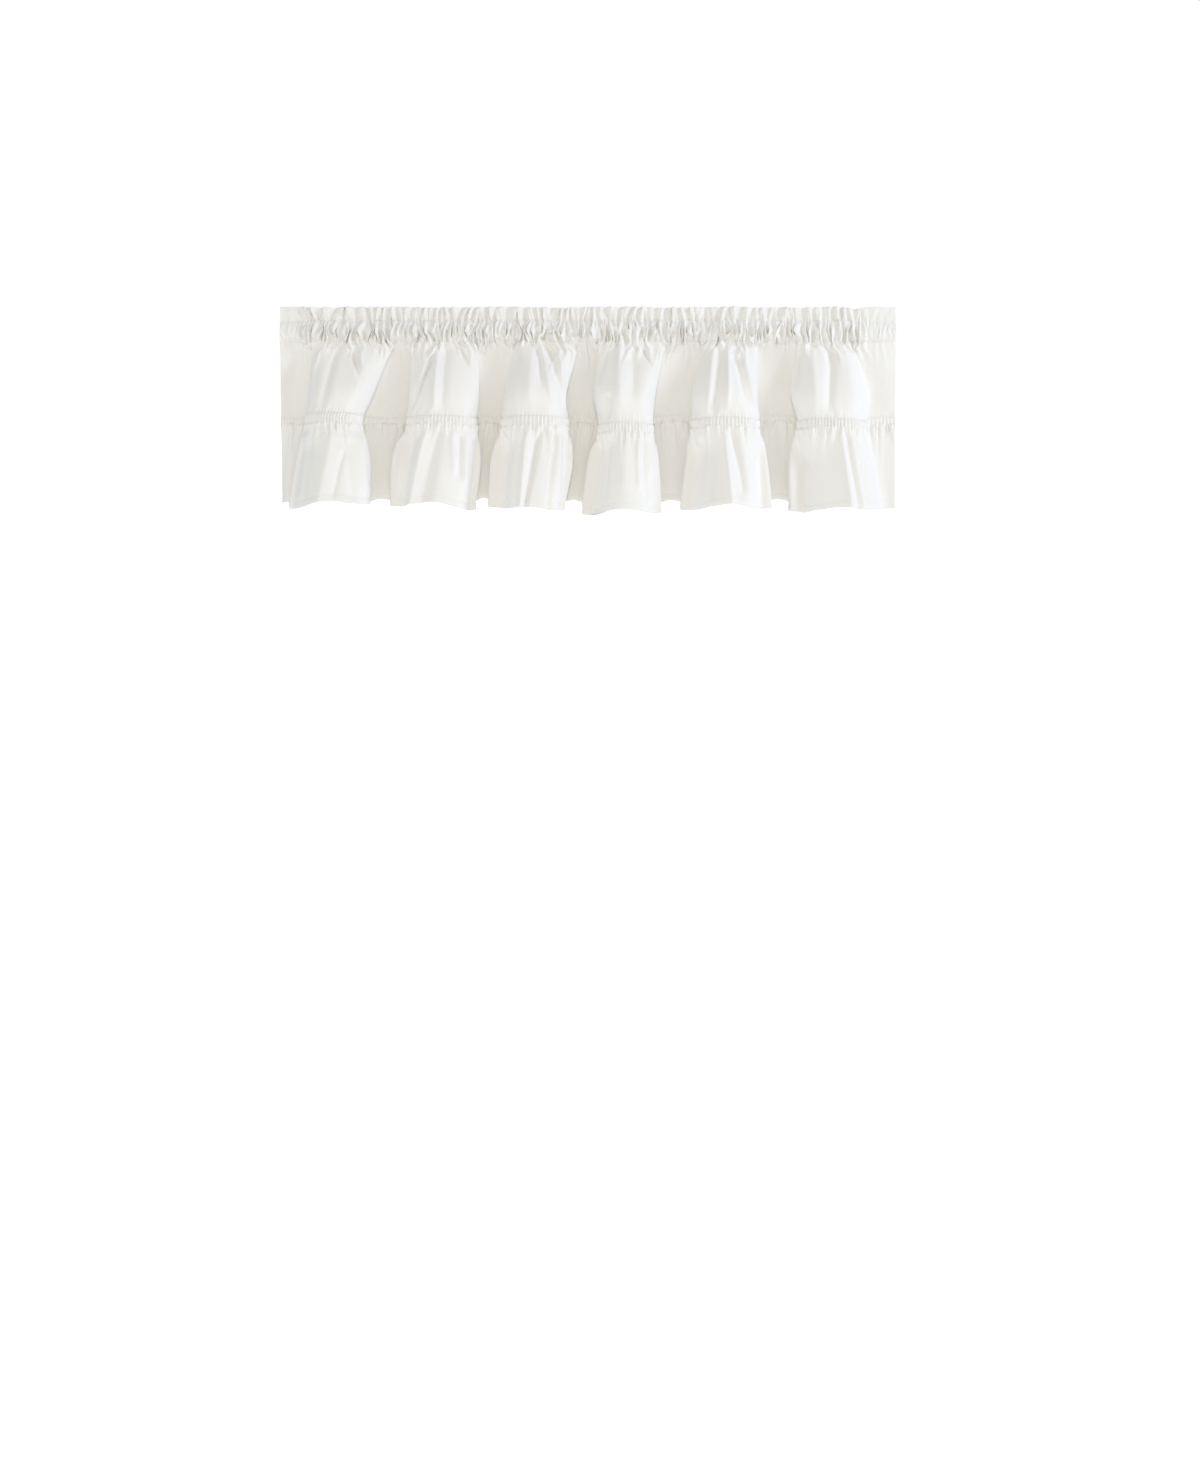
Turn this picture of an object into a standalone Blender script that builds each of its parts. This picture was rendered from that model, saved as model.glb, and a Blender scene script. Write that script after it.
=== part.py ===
"""Gathered window valance: a header and rod pocket, a fluted body and a gathered ruffle.

Metres, +Z up. The cloth hangs in the XZ plane with its front towards -Y. The origin is at the
middle of the header's top edge, in the plane that the rod's axis lies in.
"""
import math
from bisect import bisect_right
from collections import namedtuple

import bmesh
import bpy

MM = 0.001
VALANCE = "window_valance"

# Driving sizes of the whole, in millimetres, with heights given as drops below the top edge.
WIDTH = 1058.0
CLOTH_THICKNESS = 1.2
SEAM_GAP = 0.3
STITCH_DROP = 25.5
POCKET_FOOT_DROP = 61.5
POCKET_HALF_DEPTH = 9.0
HEADER_HALF_DEPTH = 1.2
STITCH_SHARE = STITCH_DROP / POCKET_FOOT_DROP

# Header and rod pocket in section, from the top fold down the front and up the back.
# out: how far it stands towards the front. drop: share of the way down the heading.
# pleat: share of the pleats' height. foot: share of its place taken from the pocket's foot line.
SectionPoint = namedtuple("SectionPoint", "out drop pleat foot")
HEADING_SECTION = (
    SectionPoint(HEADER_HALF_DEPTH, 0.000, 1.00, 0.0),
    SectionPoint(HEADER_HALF_DEPTH, STITCH_SHARE, 0.60, 0.0),
    SectionPoint(0.72 * POCKET_HALF_DEPTH, 0.520, 0.45, 0.0),
    SectionPoint(POCKET_HALF_DEPTH, 0.715, 0.45, 0.0),
    SectionPoint(0.86 * POCKET_HALF_DEPTH, 0.890, 0.40, 0.0),
    SectionPoint(0.00, 1.000, 0.30, 1.0),
    SectionPoint(-0.80 * POCKET_HALF_DEPTH, 0.900, 0.30, 0.0),
    SectionPoint(-0.80 * POCKET_HALF_DEPTH, 0.560, 0.35, 0.0),
    SectionPoint(-HEADER_HALF_DEPTH, STITCH_SHARE, 0.60, 0.0),
    SectionPoint(-HEADER_HALF_DEPTH, 0.000, 1.00, 0.0),
)

# Pleats of the heading.
HEADING_STEPS = 160
PLEAT_HEIGHT = 2.6
FLAT_LEFT_END = 26.0
FLAT_RIGHT_END = 68.0
TOP_EDGE_FALL = 1.0
DIP_PLACE = 458.0
DIP_DEPTH = 3.0
DIP_HALF_WIDTH = 16.0

# Levels, as drops below the top edge, at which each flute's edges are given.
BODY_LEVELS = (72.0, 83.0, 152.0, 196.0)
RUFFLE_LEVELS = (196.0, 264.0, 340.0)

# One row for each flute, left to right. body_ and ruffle_ edges are places across the valance at
# the levels above, tuck is how far the cloth turns in behind each edge, and drops are heights.
Flute = namedtuple(
    "Flute",
    "body_left body_right ruffle_left ruffle_right depth tuck_left tuck_right lean "
    "band_top band_foot hem_left hem_front hem_right",
)
FLUTES = (
    Flute((-471, -473, -479, -483), (-340, -342, -368, -388), (-483, -498, -511), (-388, -373, -373),
          52, 10, 14, 0.04, 190, 205, 350, 336, 343),
    Flute((-299, -301, -306, -309), (-192, -190, -187, -192), (-309, -335, -338), (-192, -184, -192),
          46, 13, 12, 0.00, 194, 206, 345, 337, 352),
    Flute((-128, -130, -144, -147), (-24, -20, -36, -34), (-147, -165, -170), (-34, -25, -38),
          50, 14, 12, 0.05, 195, 209, 347, 346, 352),
    Flute((22, 18, 9, 18), (134, 131, 117, 112), (18, 2, -9), (112, 121, 126),
          48, 13, 13, -0.02, 206, 220, 360, 349, 357),
    Flute((200, 197, 178, 179), (294, 293, 293, 293), (179, 169, 159), (293, 307, 315),
          51, 13, 14, 0.03, 198, 211, 352, 341, 349),
    Flute((360, 358, 348, 360), (452, 461, 476, 474), (360, 344, 344), (474, 484, 496),
          42, 12, -6, 0.06, 199, 212, 354, 345, 350),
)

# One row for each set-back stretch between flutes, and for the two ends.
Valley = namedtuple("Valley", "set_back band_top band_foot hem")
VALLEYS = (
    Valley(11, 190, 199, 336),
    Valley(13, 189, 199, 331),
    Valley(12, 187, 197, 329),
    Valley(13, 187, 197, 333),
    Valley(12, 184, 194, 333),
    Valley(13, 184, 194, 331),
    Valley(3, 191, 201, 347),
)

# How far the flutes stand out at each level, as a share of their depth, and how far they tuck in.
BODY_OUT_LEVELS = (61.5, 72.0, 92.0, 122.0, 158.0, 196.0)
BODY_OUT = (0.14, 0.24, 0.44, 0.72, 0.94, 0.90)
RUFFLE_OUT = (0.90, 1.08, 1.15)
BODY_TUCK = (0.20, 0.45, 1.00, 0.80)
RUFFLE_TUCK = (0.80, 1.10, 1.20)
SPREAD_DROP = 12.0

# A flute in plan, from its left neck to its right one. across: share of its width.
# top_across and top_out: its place along the pocket's foot, where the same cloth is gathered,
# as a share of the flute's width there and as millimetres towards the front.
PlanPoint = namedtuple("PlanPoint", "across out tuck top_across top_out")
FLUTE_PLAN = (
    PlanPoint(0.00, -0.60, 1.0, -0.06, -1.0),
    PlanPoint(0.00, 0.30, 0.0, 0.05, 4.0),
    PlanPoint(0.20, 0.86, 0.0, 0.25, 6.2),
    PlanPoint(0.50, 1.00, 0.0, 0.50, 7.0),
    PlanPoint(0.80, 0.86, 0.0, 0.75, 6.2),
    PlanPoint(1.00, 0.30, 0.0, 0.95, 4.0),
    PlanPoint(1.00, -0.60, -1.0, 1.06, -1.0),
)
VALLEY_TOP_OUT = -3.0
END_TOP_OUT = 1.0

# Creases of the front faces. A ridge stands out and a trough goes in, both by relief.
Crease = namedtuple("Crease", "top_x top_drop foot_x foot_drop half_width relief")
BODY_CREASES = (
    Crease(-433, 66, -452, 182, 9, -6),
    Crease(-405, 66, -382, 150, 7, -5),
    Crease(-362, 62, -352, 90, 7, -6),
    Crease(-258, 64, -297, 160, 6, 5),
    Crease(-262, 80, -298, 172, 7, -8),
    Crease(-254, 70, -261, 180, 6, 5),
    Crease(-226, 62, -204, 108, 7, -7),
    Crease(-99, 62, -97, 150, 10, 5),
    Crease(-70, 66, -50, 145, 7, -6),
    Crease(34, 66, 24, 130, 8, -5),
    Crease(53, 64, 57, 160, 9, 4),
    Crease(76, 80, 78, 160, 9, -5),
    Crease(36, 155, 34, 195, 7, -6),
    Crease(104, 66, 112, 112, 7, -6),
    Crease(219, 64, 203, 188, 6, 5),
    Crease(228, 70, 212, 188, 7, -6),
    Crease(239, 64, 237, 180, 7, 5),
    Crease(250, 84, 272, 182, 9, -7),
    Crease(388, 66, 386, 180, 9, 4),
    Crease(417, 62, 412, 186, 10, -9),
)
RUFFLE_CREASES = (
    Crease(-423, 208, -458, 345, 10, 6),
    Crease(-405, 240, -394, 345, 9, -5),
    Crease(-302, 214, -322, 345, 9, -7),
    Crease(-274, 208, -302, 345, 9, 6),
    Crease(-254, 210, -280, 345, 9, -8),
    Crease(-218, 225, -214, 310, 8, -5),
    Crease(-150, 205, -160, 260, 7, 5),
    Crease(-103, 208, -116, 350, 9, 7),
    Crease(-78, 214, -106, 350, 8, -10),
    Crease(-54, 210, -62, 345, 7, -8),
    Crease(12, 215, 2, 345, 9, -5),
    Crease(92, 210, 108, 345, 8, -6),
    Crease(200, 212, 193, 345, 10, -6),
    Crease(230, 206, 241, 340, 8, 6),
    Crease(240, 212, 262, 340, 10, -10),
    Crease(385, 215, 380, 345, 12, -6),
    Crease(436, 210, 464, 345, 9, 5),
    Crease(450, 212, 478, 345, 8, -6),
)
CREASE_FADE = 14.0
FRONT_DEPTH = 12.0
FRONT_FACING = 1.6
FLARE_DROP = 30.0

# Fineness of the solids.
STEPS_PER_PLAN_POINT = 3
BODY_ROWS = (0.0, 0.06, 0.16, 0.34, 0.58, 0.80, 1.0, 1.1)
BODY_BAND_ROW = 1.0
RUFFLE_ROWS = (0.0, 0.10, 0.20, 0.40, 0.62, 0.82, 1.0)
BAND_ROW = 0.10
BODY_HIDDEN_BY_BAND = 4.0
BAND_OFFSET = CLOTH_THICKNESS + SEAM_GAP + 1.0


def smooth_step(share):
    """0 to 1 with level ends."""
    share = min(1.0, max(0.0, share))
    return share * share * (3.0 - 2.0 * share)


def along(places, values, place):
    """The smooth curve through values at rising places, read at one place."""
    last = len(places) - 1
    place = min(places[-1], max(places[0], place))
    i = min(last - 1, max(0, bisect_right(places, place) - 1))

    def slope(k):
        before = max(0, k - 1)
        after = min(last, k + 1)
        return (values[after] - values[before]) / (places[after] - places[before])

    span = places[i + 1] - places[i]
    t = (place - places[i]) / span
    start = values[i] * (1 + 2 * t) * (1 - t) ** 2 + slope(i) * span * t * (1 - t) ** 2
    end = values[i + 1] * t * t * (3 - 2 * t) - slope(i + 1) * span * t * t * (1 - t)
    return start + end


def unevenness(index, seed):
    """A fixed number from -1 to 1 that looks irregular from one index to the next."""
    return math.sin(index * 12.9898 + seed * 78.233) * math.cos(index * 4.1414 + seed)


# ---------------------------------------------------------------- heading


def pleat_strength(x):
    """1 where the heading is gathered, falling to a little at its flat ends."""
    left = smooth_step((x + WIDTH / 2) / FLAT_LEFT_END)
    right = smooth_step((WIDTH / 2 - x) / FLAT_RIGHT_END)
    return 0.15 + 0.85 * left * right


def top_edge_drop(x):
    """The header's top edge, a little wavy, with a dip near its right end."""
    wave = math.sin(x / 31.0) + 0.6 * math.sin(x / 13.0 + 1.0)
    dip = DIP_DEPTH * math.exp(-(((x - DIP_PLACE) / DIP_HALF_WIDTH) ** 2))
    return TOP_EDGE_FALL * (1.0 - 0.6 * wave) + dip


def heading_surface():
    """The heading's cloth as a tube in section, pleated along its length."""
    bm = bmesh.new()
    rings = []
    pitch = WIDTH / HEADING_STEPS
    for step in range(HEADING_STEPS + 1):
        inside = 0 < step < HEADING_STEPS
        x = -WIDTH / 2 + step * pitch + (0.22 * pitch * unevenness(step, 1.0) if inside else 0.0)
        side = 1.0 if step % 2 else -1.0
        height = PLEAT_HEIGHT * pleat_strength(x) * (0.85 + 0.3 * unevenness(step, 2.0))
        top = top_edge_drop(x)
        foot_out = along(GATHERED_PLACES, GATHERED_OUTS, x)
        ring = []
        for point in HEADING_SECTION:
            y = -point.out - point.foot * foot_out - side * height * point.pleat
            drop = top + point.drop * (POCKET_FOOT_DROP - top)
            ring.append(bm.verts.new((x * MM, y * MM, -drop * MM)))
        rings.append(ring)
    count = len(HEADING_SECTION)
    for ring, following in zip(rings, rings[1:]):
        for k in range(count):
            after = (k + 1) % count
            bm.faces.new((ring[k], ring[after], following[after], following[k]))
    return bm


# ---------------------------------------------------------------- flutes in plan


def plan_points(drop, levels, out_levels, out_shares, tuck_shares, edges):
    """The points that the cloth's plan runs through at one level, left end to right end."""
    out_share = along(out_levels, out_shares, drop)
    tuck_share = along(levels, tuck_shares, drop)
    widths = []
    for flute in FLUTES:
        left, right = edges(flute)
        widths.append((along(levels, left, drop), along(levels, right, drop)))
    points = [(-WIDTH / 2, 0.4 * VALLEYS[0].set_back * out_share)]
    for number, flute in enumerate(FLUTES):
        left, right = widths[number]
        valley = VALLEYS[number]
        before = -WIDTH / 2 if number == 0 else widths[number - 1][1]
        points.append(((before + left) / 2, valley.set_back * out_share))
        for plan in FLUTE_PLAN:
            tuck = flute.tuck_left if plan.tuck > 0 else flute.tuck_right
            x = left + plan.across * (right - left) + plan.tuck * tuck * tuck_share
            if plan.across == 0.5:
                x += flute.lean * (right - left)
            beside = VALLEYS[number + 1] if plan.tuck < 0 else valley
            reach = flute.depth if plan.out > 0 else beside.set_back
            points.append((x, -plan.out * reach * out_share))
    points.append(((widths[-1][1] + WIDTH / 2) / 2, VALLEYS[-1].set_back * out_share))
    points.append((WIDTH / 2, VALLEYS[-1].set_back * out_share))
    return points


def body_plan(drop):
    return plan_points(drop, BODY_LEVELS, BODY_OUT_LEVELS, BODY_OUT, BODY_TUCK,
                       lambda flute: (flute.body_left, flute.body_right))


def ruffle_plan(drop):
    return plan_points(drop, RUFFLE_LEVELS, RUFFLE_LEVELS, RUFFLE_OUT, RUFFLE_TUCK,
                       lambda flute: (flute.ruffle_left, flute.ruffle_right))


def per_plan_point(end_value, valley_value, flute_values):
    """One value for each plan point, from those of the ends, the valleys and the flutes."""
    values = [end_value(VALLEYS[0])]
    for number, flute in enumerate(FLUTES):
        values.append(valley_value(VALLEYS[number]))
        values.extend(flute_values(flute, VALLEYS[number], VALLEYS[number + 1]))
    values.append(valley_value(VALLEYS[-1]))
    values.append(end_value(VALLEYS[-1]))
    return values


BAND_TOPS = per_plan_point(
    lambda v: v.band_top, lambda v: v.band_top,
    lambda f, before, after: [(before.band_top + f.band_top) / 2] + [f.band_top] * 5
    + [(after.band_top + f.band_top) / 2])
BAND_FEET = per_plan_point(
    lambda v: v.band_foot, lambda v: v.band_foot,
    lambda f, before, after: [(before.band_foot + f.band_foot) / 2] + [f.band_foot] * 5
    + [(after.band_foot + f.band_foot) / 2])
HEMS = per_plan_point(
    lambda v: v.hem, lambda v: v.hem,
    lambda f, before, after: [(before.hem + f.hem_left) / 2, f.hem_left,
                              (f.hem_left + f.hem_front) / 2, f.hem_front,
                              (f.hem_right + f.hem_front) / 2, f.hem_right,
                              (after.hem + f.hem_right) / 2])
PLAN_COUNT = len(HEMS)
PLAN_PLACES = tuple(range(PLAN_COUNT))


def gathered_points():
    """Where each plan point of the body's cloth lies along the pocket's foot, and how far out."""
    points = [(-WIDTH / 2, END_TOP_OUT)]
    before = -WIDTH / 2
    for flute in FLUTES:
        left, right = flute.body_left[0], flute.body_right[0]
        points.append(((before + left) / 2, VALLEY_TOP_OUT))
        points.extend((left + plan.top_across * (right - left), plan.top_out) for plan in FLUTE_PLAN)
        before = right
    points.append(((before + WIDTH / 2) / 2, END_TOP_OUT))
    points.append((WIDTH / 2, END_TOP_OUT))
    return points


GATHERED_PLACES, GATHERED_OUTS = zip(*gathered_points())


def spline_point(points, place):
    """The smooth plan curve through the points, and its direction, at one place along them."""
    xs = [p[0] for p in points]
    ys = [p[1] for p in points]
    step = 1.0 / STEPS_PER_PLAN_POINT
    x = along(PLAN_PLACES, xs, place)
    y = along(PLAN_PLACES, ys, place)
    near = max(0.0, place - step)
    far = min(PLAN_COUNT - 1.0, place + step)
    dx = along(PLAN_PLACES, xs, far) - along(PLAN_PLACES, xs, near)
    dy = along(PLAN_PLACES, ys, far) - along(PLAN_PLACES, ys, near)
    length = math.hypot(dx, dy)
    return x, y, dy / length, -dx / length


def crease_relief(creases, x, drop):
    """How far the creases move the cloth out at one place on a flute's front."""
    relief = 0.0
    for crease in creases:
        share = (drop - crease.top_drop) / (crease.foot_drop - crease.top_drop)
        line = crease.top_x + share * (crease.foot_x - crease.top_x)
        ends = smooth_step((drop - crease.top_drop) / CREASE_FADE)
        ends *= smooth_step((crease.foot_drop - drop) / CREASE_FADE)
        relief += crease.relief * ends * math.exp(-(((x - line) / crease.half_width) ** 2))
    return relief


def creased(creases, x, y, out_x, out_y, drop):
    """The point moved along the cloth's outward direction by the creases of the front."""
    front = smooth_step(-y / FRONT_DEPTH) * smooth_step(-out_y * FRONT_FACING)
    relief = front * crease_relief(creases, x, drop)
    return x + out_x * relief, y + out_y * relief


# ---------------------------------------------------------------- body and ruffle


def body_point(place, share):
    """A point of the body's middle surface, share of the way from the pocket to the band."""
    top = POCKET_FOOT_DROP + CLOTH_THICKNESS / 2 + 2 * SEAM_GAP
    band_top = along(PLAN_PLACES, BAND_TOPS, place)
    drop = top + share * (band_top - top)
    if share > BODY_BAND_ROW:
        drop = along(PLAN_PLACES, BAND_FEET, place) - BODY_HIDDEN_BY_BAND
    x, y, out_x, out_y = spline_point(body_plan(drop), place)
    x, y = creased(BODY_CREASES, x, y, out_x, out_y, drop)
    gathered_x = along(PLAN_PLACES, GATHERED_PLACES, place)
    gathered_y = -along(PLAN_PLACES, GATHERED_OUTS, place)
    spread = 1.0 - math.exp(-(drop - top) / SPREAD_DROP)
    return gathered_x + spread * (x - gathered_x), gathered_y + spread * (y - gathered_y), drop


def ruffle_point(place, share):
    """A point of the ruffle's middle surface, share of the way from the band's top to the hem."""
    band_top = along(PLAN_PLACES, BAND_TOPS, place)
    band_foot = along(PLAN_PLACES, BAND_FEET, place)
    hem = along(PLAN_PLACES, HEMS, place)
    if share <= BAND_ROW:
        drop = band_top + share / BAND_ROW * (band_foot - band_top)
    else:
        drop = band_foot + (share - BAND_ROW) / (1 - BAND_ROW) * (hem - band_foot)
    body_x, body_y, out_x, out_y = spline_point(body_plan(min(drop, band_foot)), place)
    body_x += out_x * BAND_OFFSET
    body_y += out_y * BAND_OFFSET
    if share <= BAND_ROW:
        return body_x, body_y, drop
    x, y, out_x, out_y = spline_point(ruffle_plan(drop), place)
    x, y = creased(RUFFLE_CREASES, x, y, out_x, out_y, drop)
    flare = smooth_step((drop - band_foot) / FLARE_DROP)
    return body_x + flare * (x - body_x), body_y + flare * (y - body_y), drop


def cloth_surface(point_at, rows):
    """A grid of cloth from left to right and from top to foot, shaped point by point."""
    columns = (PLAN_COUNT - 1) * STEPS_PER_PLAN_POINT
    bm = bmesh.new()
    lines = []
    for row in rows:
        line = []
        for column in range(columns + 1):
            x, y, drop = point_at(column / STEPS_PER_PLAN_POINT, row)
            line.append(bm.verts.new((x * MM, y * MM, -drop * MM)))
        lines.append(line)
    for upper, lower in zip(lines, lines[1:]):
        for k in range(columns):
            bm.faces.new((upper[k], lower[k], lower[k + 1], upper[k + 1]))
    return bm


# ---------------------------------------------------------------- objects


def cotton(name, colour, roughness):
    material = bpy.data.materials.new(name)
    material.use_nodes = True
    shader = material.node_tree.nodes["Principled BSDF"]
    shader.inputs["Base Color"].default_value = (*colour, 1.0)
    shader.inputs["Roughness"].default_value = roughness
    shader.inputs["Metallic"].default_value = 0.0
    return material


def sewn_piece(name, bm, material, collection):
    """A cloth surface made a sheet of the cloth's thickness."""
    bmesh.ops.recalc_face_normals(bm, faces=bm.faces)
    mesh = bpy.data.meshes.new(name)
    bm.to_mesh(mesh)
    bm.free()
    mesh.shade_smooth()
    mesh.materials.append(material)
    piece = bpy.data.objects.new(name, mesh)
    collection.objects.link(piece)
    sheet = piece.modifiers.new("cloth thickness", "SOLIDIFY")
    sheet.thickness = CLOTH_THICKNESS * MM
    sheet.offset = 0.0
    return piece


def build():
    for old in list(bpy.data.objects):
        bpy.data.objects.remove(old)
    collection = bpy.data.collections.new(VALANCE)
    bpy.context.scene.collection.children.link(collection)
    heading_cotton = cotton("heading cotton", (0.86, 0.85, 0.82), 0.85)
    body_cotton = cotton("body cotton", (0.88, 0.87, 0.84), 0.85)
    ruffle_cotton = cotton("ruffle cotton", (0.90, 0.89, 0.87), 0.85)
    sewn_piece("heading", heading_surface(), heading_cotton, collection)
    sewn_piece("body", cloth_surface(body_point, BODY_ROWS), body_cotton, collection)
    sewn_piece("ruffle", cloth_surface(ruffle_point, RUFFLE_ROWS), ruffle_cotton, collection)


build()
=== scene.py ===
"""Dresses a gathered window valance: pleated heading, fluted body, shirred ruffle, stitching and stage.

Run as a script. The cloth is worked out from the flutes' named sizes, in millimetres, with heights
given as drops below the header's top edge, and is made in metres.
"""
import math
from collections import namedtuple

import bpy
import numpy as np
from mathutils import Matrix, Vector


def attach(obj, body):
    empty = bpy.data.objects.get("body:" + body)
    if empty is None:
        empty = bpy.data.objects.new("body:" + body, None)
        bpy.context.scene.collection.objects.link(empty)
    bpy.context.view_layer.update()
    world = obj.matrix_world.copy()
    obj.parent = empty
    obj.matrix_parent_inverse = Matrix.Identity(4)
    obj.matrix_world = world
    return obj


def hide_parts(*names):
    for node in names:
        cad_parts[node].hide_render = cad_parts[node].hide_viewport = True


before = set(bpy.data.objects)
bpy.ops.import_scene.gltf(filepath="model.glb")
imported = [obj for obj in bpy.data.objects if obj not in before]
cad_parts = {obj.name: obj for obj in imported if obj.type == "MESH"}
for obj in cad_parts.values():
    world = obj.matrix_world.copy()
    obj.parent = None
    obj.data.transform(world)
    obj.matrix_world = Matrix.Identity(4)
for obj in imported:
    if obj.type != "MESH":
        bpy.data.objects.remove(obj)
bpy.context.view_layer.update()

bl_info = {
    "name": "Gathered window valance",
    "version": (1, 0, 0),
    "blender": (4, 5, 0),
    "location": "3D View > Sidebar > Valance",
    "description": "Makes a gathered valance with a rod pocket, flutes and a shirred ruffle",
    "category": "Add Mesh",
}

MM = 0.001
# Keeps a division by a length clear of zero.
TINY = 1e-9

# ---------------------------------------------------------------- sizes of the drape

WIDTH = 1058.0
STITCH_DROP = 25.5
POCKET_MIDDLE_DROP = 44.0
POCKET_FOOT_DROP = 61.5
POCKET_HALF_DEPTH = 9.0
HEADER_HALF_DEPTH = 1.2
BODY_HIDDEN_BY_BAND = 4.0
BAND_OFFSET = 0.7

# The heading's ends lie nearly flat. fullness: what is left of the gathers there.
FLAT_LEFT_END = 22.0
FLAT_RIGHT_END = 40.0
END_FADE = 32.0
END_FULLNESS = 0.15
BODY_END_FULLNESS = 0.25

# The header's top edge has a long wave with a ripple on it, and a dip near its right end.
TOP_EDGE_FALL = 1.0
TOP_EDGE_WAVE = 31.0
TOP_EDGE_RIPPLE = 13.0
RIPPLE_SHARE = 0.6
WAVE_SHARE = 0.6
DIP_PLACE = 458.0
DIP_DEPTH = 3.0
DIP_HALF_WIDTH = 16.0

# Flat sizes of the cut cloth, in metres.
FLAT_WIDTH = 1.78
FLAT_RUFFLE_WIDTH = 2.15

BODY_LEVELS = (72.0, 83.0, 152.0, 196.0)
RUFFLE_LEVELS = (196.0, 264.0, 340.0)

# One row for each flute, left to right: edges at the levels above, then depth and heights.
Flute = namedtuple(
    "Flute",
    "body_left body_right ruffle_left ruffle_right depth tuck_left tuck_right lean "
    "band_top band_foot hem_left hem_front hem_right",
)
FLUTES = (
    Flute((-471, -473, -479, -483), (-340, -342, -368, -388), (-483, -498, -511), (-388, -373, -373),
          52, 10, 3, 0.04, 190, 205, 350, 336, 343),
    Flute((-299, -301, -306, -309), (-192, -190, -187, -192), (-309, -335, -338), (-192, -184, -192),
          46, 13, 5, 0.00, 194, 206, 345, 337, 352),
    Flute((-128, -130, -144, -147), (-24, -20, -36, -34), (-147, -165, -170), (-34, -25, -38),
          50, 5, 12, 0.05, 195, 209, 347, 346, 352),
    Flute((22, 18, 9, 18), (134, 131, 117, 112), (18, 2, -9), (112, 121, 126),
          48, 13, 13, -0.02, 206, 220, 360, 349, 357),
    Flute((200, 197, 178, 179), (294, 293, 293, 293), (179, 169, 159), (293, 307, 315),
          51, 13, 14, 0.03, 198, 211, 352, 341, 349),
    Flute((360, 358, 348, 360), (452, 461, 476, 474), (360, 344, 344), (474, 484, 496),
          42, 12, -6, 0.06, 199, 212, 354, 345, 350),
)

# One row for each set-back stretch between flutes, and for the two ends.
Valley = namedtuple("Valley", "set_back band_top band_foot hem")
VALLEYS = (
    Valley(11, 190, 199, 336),
    Valley(13, 189, 199, 331),
    Valley(12, 187, 197, 329),
    Valley(13, 187, 197, 333),
    Valley(12, 184, 194, 333),
    Valley(13, 184, 194, 331),
    Valley(3, 191, 201, 347),
)

BODY_OUT_LEVELS = (61.5, 72.0, 92.0, 122.0, 158.0, 196.0)
BODY_OUT = (0.14, 0.24, 0.44, 0.72, 0.94, 0.90)
BODY_VALLEY_OUT = (0.45, 0.70, 0.95, 1.05, 1.00, 0.90)
RUFFLE_OUT = (0.90, 1.08, 1.15)
RUFFLE_VALLEY_OUT = (0.90, 0.50, 0.20)
BODY_TUCK = (0.20, 0.45, 1.00, 0.80)
RUFFLE_TUCK = (0.80, 1.10, 1.20)
SPREAD_DROP = 9.0
FLARE_DROP = 30.0
FOOT_CALM = 30.0

# A flute in plan, from its left neck to its right one. across: share of its width.
# top_across and top_out: its place along the pocket's foot, where the same cloth is gathered.
PlanPoint = namedtuple("PlanPoint", "across out tuck top_across top_out")
FLUTE_PLAN = (
    PlanPoint(0.00, -0.60, 1.0, -0.06, -1.0),
    PlanPoint(0.00, 0.30, 0.0, 0.05, 4.0),
    PlanPoint(0.20, 0.86, 0.0, 0.25, 6.2),
    PlanPoint(0.50, 1.00, 0.0, 0.50, 7.0),
    PlanPoint(0.80, 0.86, 0.0, 0.75, 6.2),
    PlanPoint(1.00, 0.30, 0.0, 0.95, 4.0),
    PlanPoint(1.00, -0.60, -1.0, 1.06, -1.0),
)
FLUTE_MIDDLE = FLUTE_PLAN[3]
VALLEY_TOP_OUT = -6.0
END_TOP_OUT = 1.0

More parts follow.
